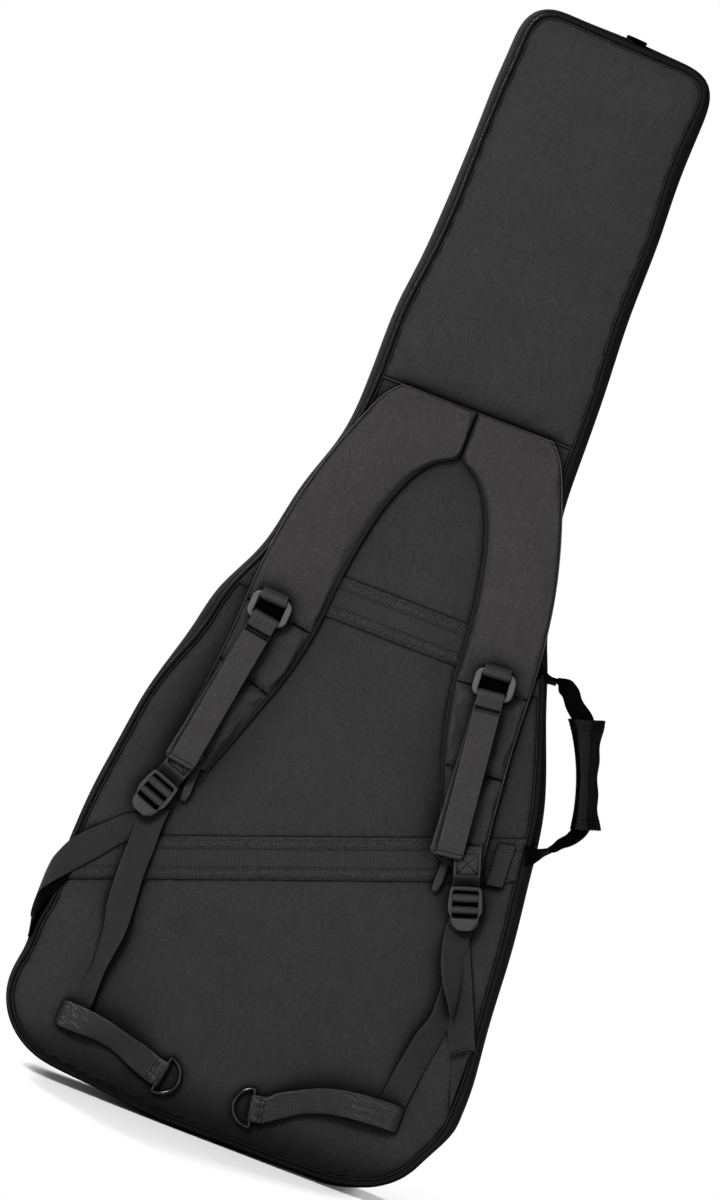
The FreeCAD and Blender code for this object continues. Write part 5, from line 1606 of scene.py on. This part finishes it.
def handle():
    """Carrying handle on the side of the bag: roots, twisted webbing and leather grip."""
    low = hinge_point("handle_swing")
    axis = np.array(JOINTS["handle_swing"]["axis"])
    high = low + axis * ((node_points("handle_webbing") - low) @ axis).max()
    grip_low, grip_high = node_box("handle_grip")
    top_end = np.array([grip_low[0] + 14.0, low[1], grip_high[2] - 5.0])
    low_end = np.array([grip_high[0] - 16.0, low[1], grip_low[2] + 5.0])
    run = unit(top_end - low_end)
    handle_webbing(high, low, top_end, low_end, run)
    grip(low_end, run, np.linalg.norm(top_end - low_end))

    # roots of the webbing, sewn to the side wall
    shape = Shape()
    y = low[1]
    face = BACK_Y - 2.0
    for centres, spreads in (               # places, and half widths along the panel and out of it
            ([(131.5, face, 509.5), (137.0, face - 0.4, 509.3), (143.5, face + 4, 509.0), (150.0, y - 6, 508.8),
              (157.0, y, 509.2)], ((14.0, 0), (11.0, 1), (6.5, 5), (3.6, 8.5), (3.2, 10))),
            ([(186.5, face, 350.0), (190.5, face + 0.5, 351.0), (195.5, face + 4, 354.0), (201.0, y - 6, 358.0),
              (207.5, y, 362.6)], ((10.0, 0), (9.0, 1), (6.5, 5), (4.0, 8.5), (2.6, 10)))):
        centres = np.array(centres, float)
        along = unit(np.gradient(centres, axis=0) * [1, 0, 1])
        rise = np.stack([-along[:, 2], 0 * along[:, 0], along[:, 0]], axis=1)
        halves = [rise[i] * up + OUT * out for i, (up, out) in enumerate(spreads)]
        ribbon(shape, centres, halves, thick=2.6, count=44)
    finish_piece("handle_roots", shape, "rear_shell", [HANDLE_AND_SHADE_WEB], ["handle_tabs"])


def hang_loop():
    """Small loop of webbing sewn to the top of the head."""
    low, high = node_box("hang_loop")
    high[2] -= 1.5
    x = (low[0] + high[0]) / 2
    half = (high[0] - low[0]) / 2
    tall, y0, y1 = high[2] - low[2] - 1.0, low[1], high[1]
    base = low[2] + 0.9
    foot = [(0.5, base + 0.1), (5, base + 0.3), (9, base + tall * 0.75)]
    path = [(y0 + inset, up) for inset, up in foot] + [((y0 + y1) / 2, base + tall)]
    path += [(y1 - inset, up) for inset, up in foot[::-1]]
    shape = Shape()
    ribbon(shape, [(x, a, b) for a, b in path], [(half, 0, -0.05 * half)] * len(path), count=50, thick=1.3)
    finish_piece("hang_loop_web", shape, "rear_shell", [HANDLE_AND_SHADE_WEB], ["hang_loop"])


handle()
hang_loop()


# ---------------------------------------------------------------- small sewn pieces on the strap side

def strap_ends():
    """Narrow ends of the straps' inner layer, hanging below the loops beside the locks."""
    for side, beside, high in (("left", 21.6, 18.0), ("right", -26.4, 27.0)):
        lock = hinge_point(f"{side}_lock_hinge")
        face = PAD_LOW - 3.0
        rows = [(0.6, high + 22, -0.8), (0.5, high, 0.6), (0.2, 6.0, 1.2), (0.0, -6.0, 1.0), (-0.4, -12.0, 0.6)]
        shape = Shape()
        ribbon(shape, [(lock[0] + beside + dx, face - out, lock[2] + dz) for dx, dz, out in rows],
               [(half, 0, 0.1 * half) for half in (3.9, 3.9, 3.8, 3.7, 2.4)], count=40)
        finish_piece(f"{side}_strap_end", shape, f"{side}_strap", [STRAP])


def band_patch():
    """Doubled end of the lower band by the handle's root, with a fringe of loose dark threads at its lower
    edge.
    """
    roots = node_points("handle_tabs")
    low = roots[roots[:, 2] < 430]
    middle = np.array([low[:, 0].min() - 27.0, BACK_Y - 2.6, low[:, 2].mean() - 26.0])
    shape = Shape()
    rows = [(0.0, 21.0), (0.3, 8.0), (1.2, -6.0), (1.8, -19.0)]
    ribbon(shape, [middle + [dx, -0.2, dz] for dx, dz in rows], [(8.0, 0, 1.6)] * 4, count=34, thick=1.3)
    finish_piece("band_patch", shape, "rear_shell", [BAND])
    thread = Shape()
    for step in range(9):
        start = middle + np.array([-6.0 + 1.7 * step, -0.9, -19.6])
        fall = start + [0.8 * math.sin(step * 2.1), -0.4, -2.6 - 1.3 * math.sin(step * 1.3) ** 2]
        tube(thread, np.array([start, (start + fall) / 2 + [0.3, 0, 0], fall]), 0.28, sides=5)
    finish_piece("band_patch_fringe", thread, "rear_shell", [THREAD])


strap_ends()
band_patch()


# ---------------------------------------------------------------- pocket on the lid

POCKET = Edge(face_outline("pocket_panel", 1), 0.0, 300, 1.5)
POCKET_LOW, POCKET_HIGH = node_box("pocket_panel")
POCKET_FACE = POCKET_HIGH[1]
MOUTH_LOW, MOUTH_HIGH = node_box("pocket_zip_tape")
MOUTH_PUFF = 3.0                            # how far the pocket's front bulges


def pocket_wall():
    """Side wall of the pocket, a band of cloth with a soft bow."""
    foot = node_box("pocket_gusset")[0][1]
    deep = POCKET_FACE - foot
    rings = []
    for inset, share in ((0.2, 0.0), (-0.6, 0.25), (-0.9, 0.5), (-0.5, 0.75), (0.4, 0.94), (2.4, 0.94),
                         (2.6, 0.5), (2.8, 0.0)):
        wave = 0.5 * ripple(POCKET.along[:-1], np.full(len(POCKET.points), share * 30), 61, 120)
        rings.append(at_depth(POCKET.inset(inset + (wave if inset < 2 else 0)), foot + deep * share))
    shape = Shape()
    loft(shape, np.array(rings).transpose(1, 0, 2)[:, ::-1], path_closed=True)
    finish_piece("pocket_wall", shape, "lid", [SHADED_SHELL], ["pocket_gusset"])


def pocket_front():
    """Front of the pocket: puffed cloth with an open slot where the zip is sewn in."""
    slot_half = MOUTH_HIGH[0]
    levels = (POCKET_LOW[2] + 0.6, MOUTH_LOW[2], MOUTH_HIGH[2], POCKET_HIGH[2] - 0.6)
    z = np.concatenate([levels[:1]] + [np.linspace(low, high, count)[1:] for low, high, count in
                                       zip(levels, levels[1:], (44, 7, 9))])
    left, right = width_at(POCKET.inset(0.6), z)
    half = (right - left)[:, None] / 2
    inner = np.minimum(slot_half, 0.9 * half)
    u = np.linspace(-1, 1, 49)[None]
    wide = 0.84
    x = np.where(np.abs(u) <= wide, u / wide * inner,
                 np.sign(u) * (inner + (half - inner) * (np.abs(u) - wide) / (1 - wide)))
    z = np.repeat(z[:, None], x.shape[1], axis=1)
    rim = edge_distance(x, z, POCKET.inset(0.0))
    off = np.abs(z - MOUTH_LOW[2] / 2 - MOUTH_HIGH[2] / 2) - (MOUTH_HIGH[2] - MOUTH_LOW[2]) / 2
    mouth = np.hypot(np.maximum(np.abs(x) - slot_half, 0), np.maximum(off, 0))
    hold = 1 - np.exp(-np.minimum(rim, mouth + 4) / 14.0)
    height = MOUTH_PUFF * hold * (1 + 0.3 * ripple(x, z, 63, 130))
    front = np.stack([x, POCKET_FACE - 1.0 + height, z], axis=2)[:, ::-1]
    back = np.stack([x, np.full(x.shape, POCKET_FACE - 2.6), z], axis=2)[:, ::-1]
    cell_x = (x[:-1, :-1] + x[1:, 1:]) / 2
    cell_z = (z[:-1, :-1] + z[1:, 1:]) / 2
    hole = ((np.abs(cell_x) < slot_half) & (cell_z > MOUTH_LOW[2]) & (cell_z < MOUTH_HIGH[2]))[:, ::-1]
    start = Shape()
    solid_between(start, front, back, hole)
    tight = ((rim < 3) | (mouth < 2))[:, ::-1]
    pinned = np.concatenate([tight.ravel(), np.ones(x.size, bool)])
    points = plump(start, pinned, POCKET_PRESSURE, 3.0, swell=0.006)
    shape = Shape()
    solid_between(shape, points[:x.size].reshape(front.shape), back, hole)
    finish_piece("pocket_front", shape, "lid", [SHELL, LINING], ["pocket_panel"])


def pocket_trim():
    """Piping round the pocket, its zip and the rows of stitches."""
    line = POCKET.inset(-0.6)
    shape = Shape()
    tube(shape, at_depth(line, POCKET_FACE - 1.4), 1.9, closed=True)
    finish_piece("pocket_piping_cord", shape, "lid", [PIPING], ["pocket_piping"])

    middle = (MOUTH_LOW[2] + MOUTH_HIGH[2]) / 2
    reach = MOUTH_HIGH[0] + 3.0
    shape = Shape()
    for way in (-1, 1):
        rows = np.array([[(x, POCKET_FACE - 1.6 + 0.25 * math.sin(x * 0.05 + way), middle + way * off)
                          for x in np.linspace(-reach, reach, 60)] for off in (0.9, 3.0, 6.0, 9.0, 12.5)])
        if way > 0:
            rows = rows[::-1]
        solid_between(shape, rows, rows - [0, 0.8, 0], kinds=(0, 0))
    finish_piece("pocket_zip_tape_web", shape, "lid", [TAPE], ["pocket_zip_tape"])
    teeth = Shape()
    for number, x in enumerate(np.arange(-reach + 4, reach - 4, TOOTH_PITCH / 2)):
        way = 1 if number % 2 else -1
        start = np.array([x, POCKET_FACE - 1.5, middle + way * 2.2])
        end = np.array([x + 0.5, POCKET_FACE - 0.9, middle - way * 0.5])
        tube(teeth, np.array([start, (start + end) / 2 + [0, 0.9, 0], end]), 0.5, sides=6)
    finish_piece("pocket_zip_teeth", teeth, "lid", [TEETH])
    thread = Shape()
    for way in (-1, 1):
        path = [(x, POCKET_FACE + 0.3, middle + way * 13.4) for x in np.linspace(-reach + 2, reach - 2, 60)]
        stitches(thread, path, -OUT, radius=0.34)
    finish_piece("pocket_stitches", thread, "lid", [THREAD])


pocket_wall()
pocket_front()
pocket_trim()


# ---------------------------------------------------------------- foam blocks inside

BLOCK_CELL, BLOCK_SHRINK = 4.0, 0.8


def covered_block(node):
    """Foam block in a sewn cover: the frame's block, remeshed and plumped by cloth simulation."""
    thing = put("block", frame["nodes"][node].data.copy())
    remesh = thing.modifiers.new("Remesh", "REMESH")
    remesh.mode = "VOXEL"
    remesh.voxel_size = BLOCK_CELL * MM
    remesh.adaptivity = 0.0
    mesh = evaluated_mesh(thing)
    points = vertex_rows(mesh) / MM - vertex_rows(mesh, "normal") * BLOCK_SHRINK
    faces = [tuple(polygon.vertices) for polygon in mesh.polygons]
    free = np.zeros(len(points), bool)
    moved = plump(Shape().add(points, faces), free, BLOCK_PRESSURE, BLOCK_SHRINK, swell=0.01)
    cover = Shape().add(moved, faces)
    subdivide(finish_piece(f"{node}_cover", cover, "rear_shell", [FOAM_COVER], [node]))


covered_block("neck_cradle")
covered_block("end_bumper")


# ---------------------------------------------------------------- finish of the frame's own hardware

DRESS = {"pocket_slider": SLIDER, "pocket_pull": SLIDER}
for part, finish in (("ring", RING), ("d_ring", WIRE), ("zip_slider", SLIDER), ("zip_pull", SLIDER)):
    DRESS.update({f"{side}_{part}": finish for side in ("left", "right")})
for node, finish in DRESS.items():
    for place in frame["nodes"][node].material_slots:
        place.material = finish


# ---------------------------------------------------------------- stage, light and camera

FIELD = 1.104                              # height of the view at the bag, in metres
LEAN = math.radians(21)                    # the bag leans this far clockwise in the picture
MIDDLE = Vector((-0.0396, 0.0, 0.5152))
CAMERA_AWAY = 5.0
SENSOR = 36.0
FLOOR_Z = -0.0005
FLOOR_RINGS = (0.4, 0.8, 1.2, 1.8, 2.6, 4.0, 8.0, 30.0)
WHITE, PALE = (1.0, 1.0, 1.0, 1.0), (0.86, 0.86, 0.86, 1.0)
ALL_ROUND = 0.12                           # strength of the light from the white surroundings

# place, level aimed at, size, power, and if shiny things mirror it
LIGHTS = {"key": ((-2.4, -3.8, 3.3), 0.55, 1.3, 360.0, True),
          "fill": ((2.2, -4.0, 1.6), 0.6, 2.4, 34.0, True),
          "behind": ((-2.6, 3.8, 2.6), 0.5, 1.6, 330.0, True),
          "beside": ((3.4, 2.8, 2.2), 0.5, 1.6, 190.0, False)}


def floor():
    """Pale floor that fades into the white surroundings."""
    sides = 64
    verts = [[r * math.cos(a), r * math.sin(a), FLOOR_Z] for r in FLOOR_RINGS for a in full_turn(sides)]
    centre = len(verts)
    nexts = [(j, (j + 1) % sides) for j in range(sides)]
    faces = [(centre, j, k) for j, k in nexts]
    for inner in range(0, centre - sides, sides):
        faces += [(inner + j, inner + sides + j, inner + sides + k, inner + k) for j, k in nexts]
    mesh = bpy.data.meshes.new("floor")
    mesh.from_pydata(verts + [[0, 0, FLOOR_Z]], [], faces)
    n = Nodes(bpy.data.materials.new("floor"))
    away = n.out("VectorMath", "Value", {0: n.out("NewGeometry", "Position")}, operation="LENGTH")
    fade = n.out("MapRange", "Result", {"Value": away, "From Min": 0.05, "From Max": 0.6},
                 interpolation_type="SMOOTHSTEP")
    pale = n.out("BsdfDiffuse", "BSDF", {"Color": PALE})
    white = n.out("Emission", "Emission", {"Color": WHITE, "Strength": 1.0})
    n.add("OutputMaterial", {"Surface": n.for_camera(fade, pale, white)})
    mesh.materials.append(n.block)
    put("floor", mesh)


def surroundings(strength):
    """White behind the bag, and a weaker white light from all round."""
    n = Nodes(bpy.data.worlds.new("white"))
    plain = n.out("Background", "Background", {"Color": WHITE, "Strength": strength})
    seen = n.out("Background", "Background", {"Color": WHITE})
    n.add("OutputWorld", {"Surface": n.for_camera(None, plain, seen)})
    bpy.context.scene.world = n.block


def soft_light(name, place, aim_z, size, power, gloss):
    lamp = bpy.data.lights.new(name, "AREA")
    lamp.shape = "DISK"
    lamp.size = size
    lamp.energy = power
    thing = put(name, lamp)
    thing.location = place
    thing.visible_glossy = gloss
    thing.rotation_euler = (Vector((0, 0, aim_z)) - Vector(place)).to_track_quat("-Z", "Y").to_euler()


def camera():
    """Straight on to the strap side, rolled so that the bag leans."""
    lens = bpy.data.cameras.new("camera")
    lens.sensor_fit = "VERTICAL"
    lens.sensor_height = SENSOR
    lens.lens = SENSOR * (CAMERA_AWAY + BACK_Y * MM) / FIELD
    lens.clip_end = 100.0
    thing = put("camera", lens)
    up = Vector((-math.sin(LEAN), 0, math.cos(LEAN)))
    right = Vector((math.cos(LEAN), 0, math.sin(LEAN)))
    back = Vector((0, -1, 0))
    turn = Matrix((right, up, back)).transposed().to_4x4()
    thing.matrix_world = Matrix.Translation(MIDDLE + back * CAMERA_AWAY) @ turn
    bpy.context.scene.camera = thing


floor()
surroundings(ALL_ROUND)
for name, setting in LIGHTS.items():
    soft_light(name, *setting)
camera()
bpy.context.scene.view_settings.view_transform = "Standard"
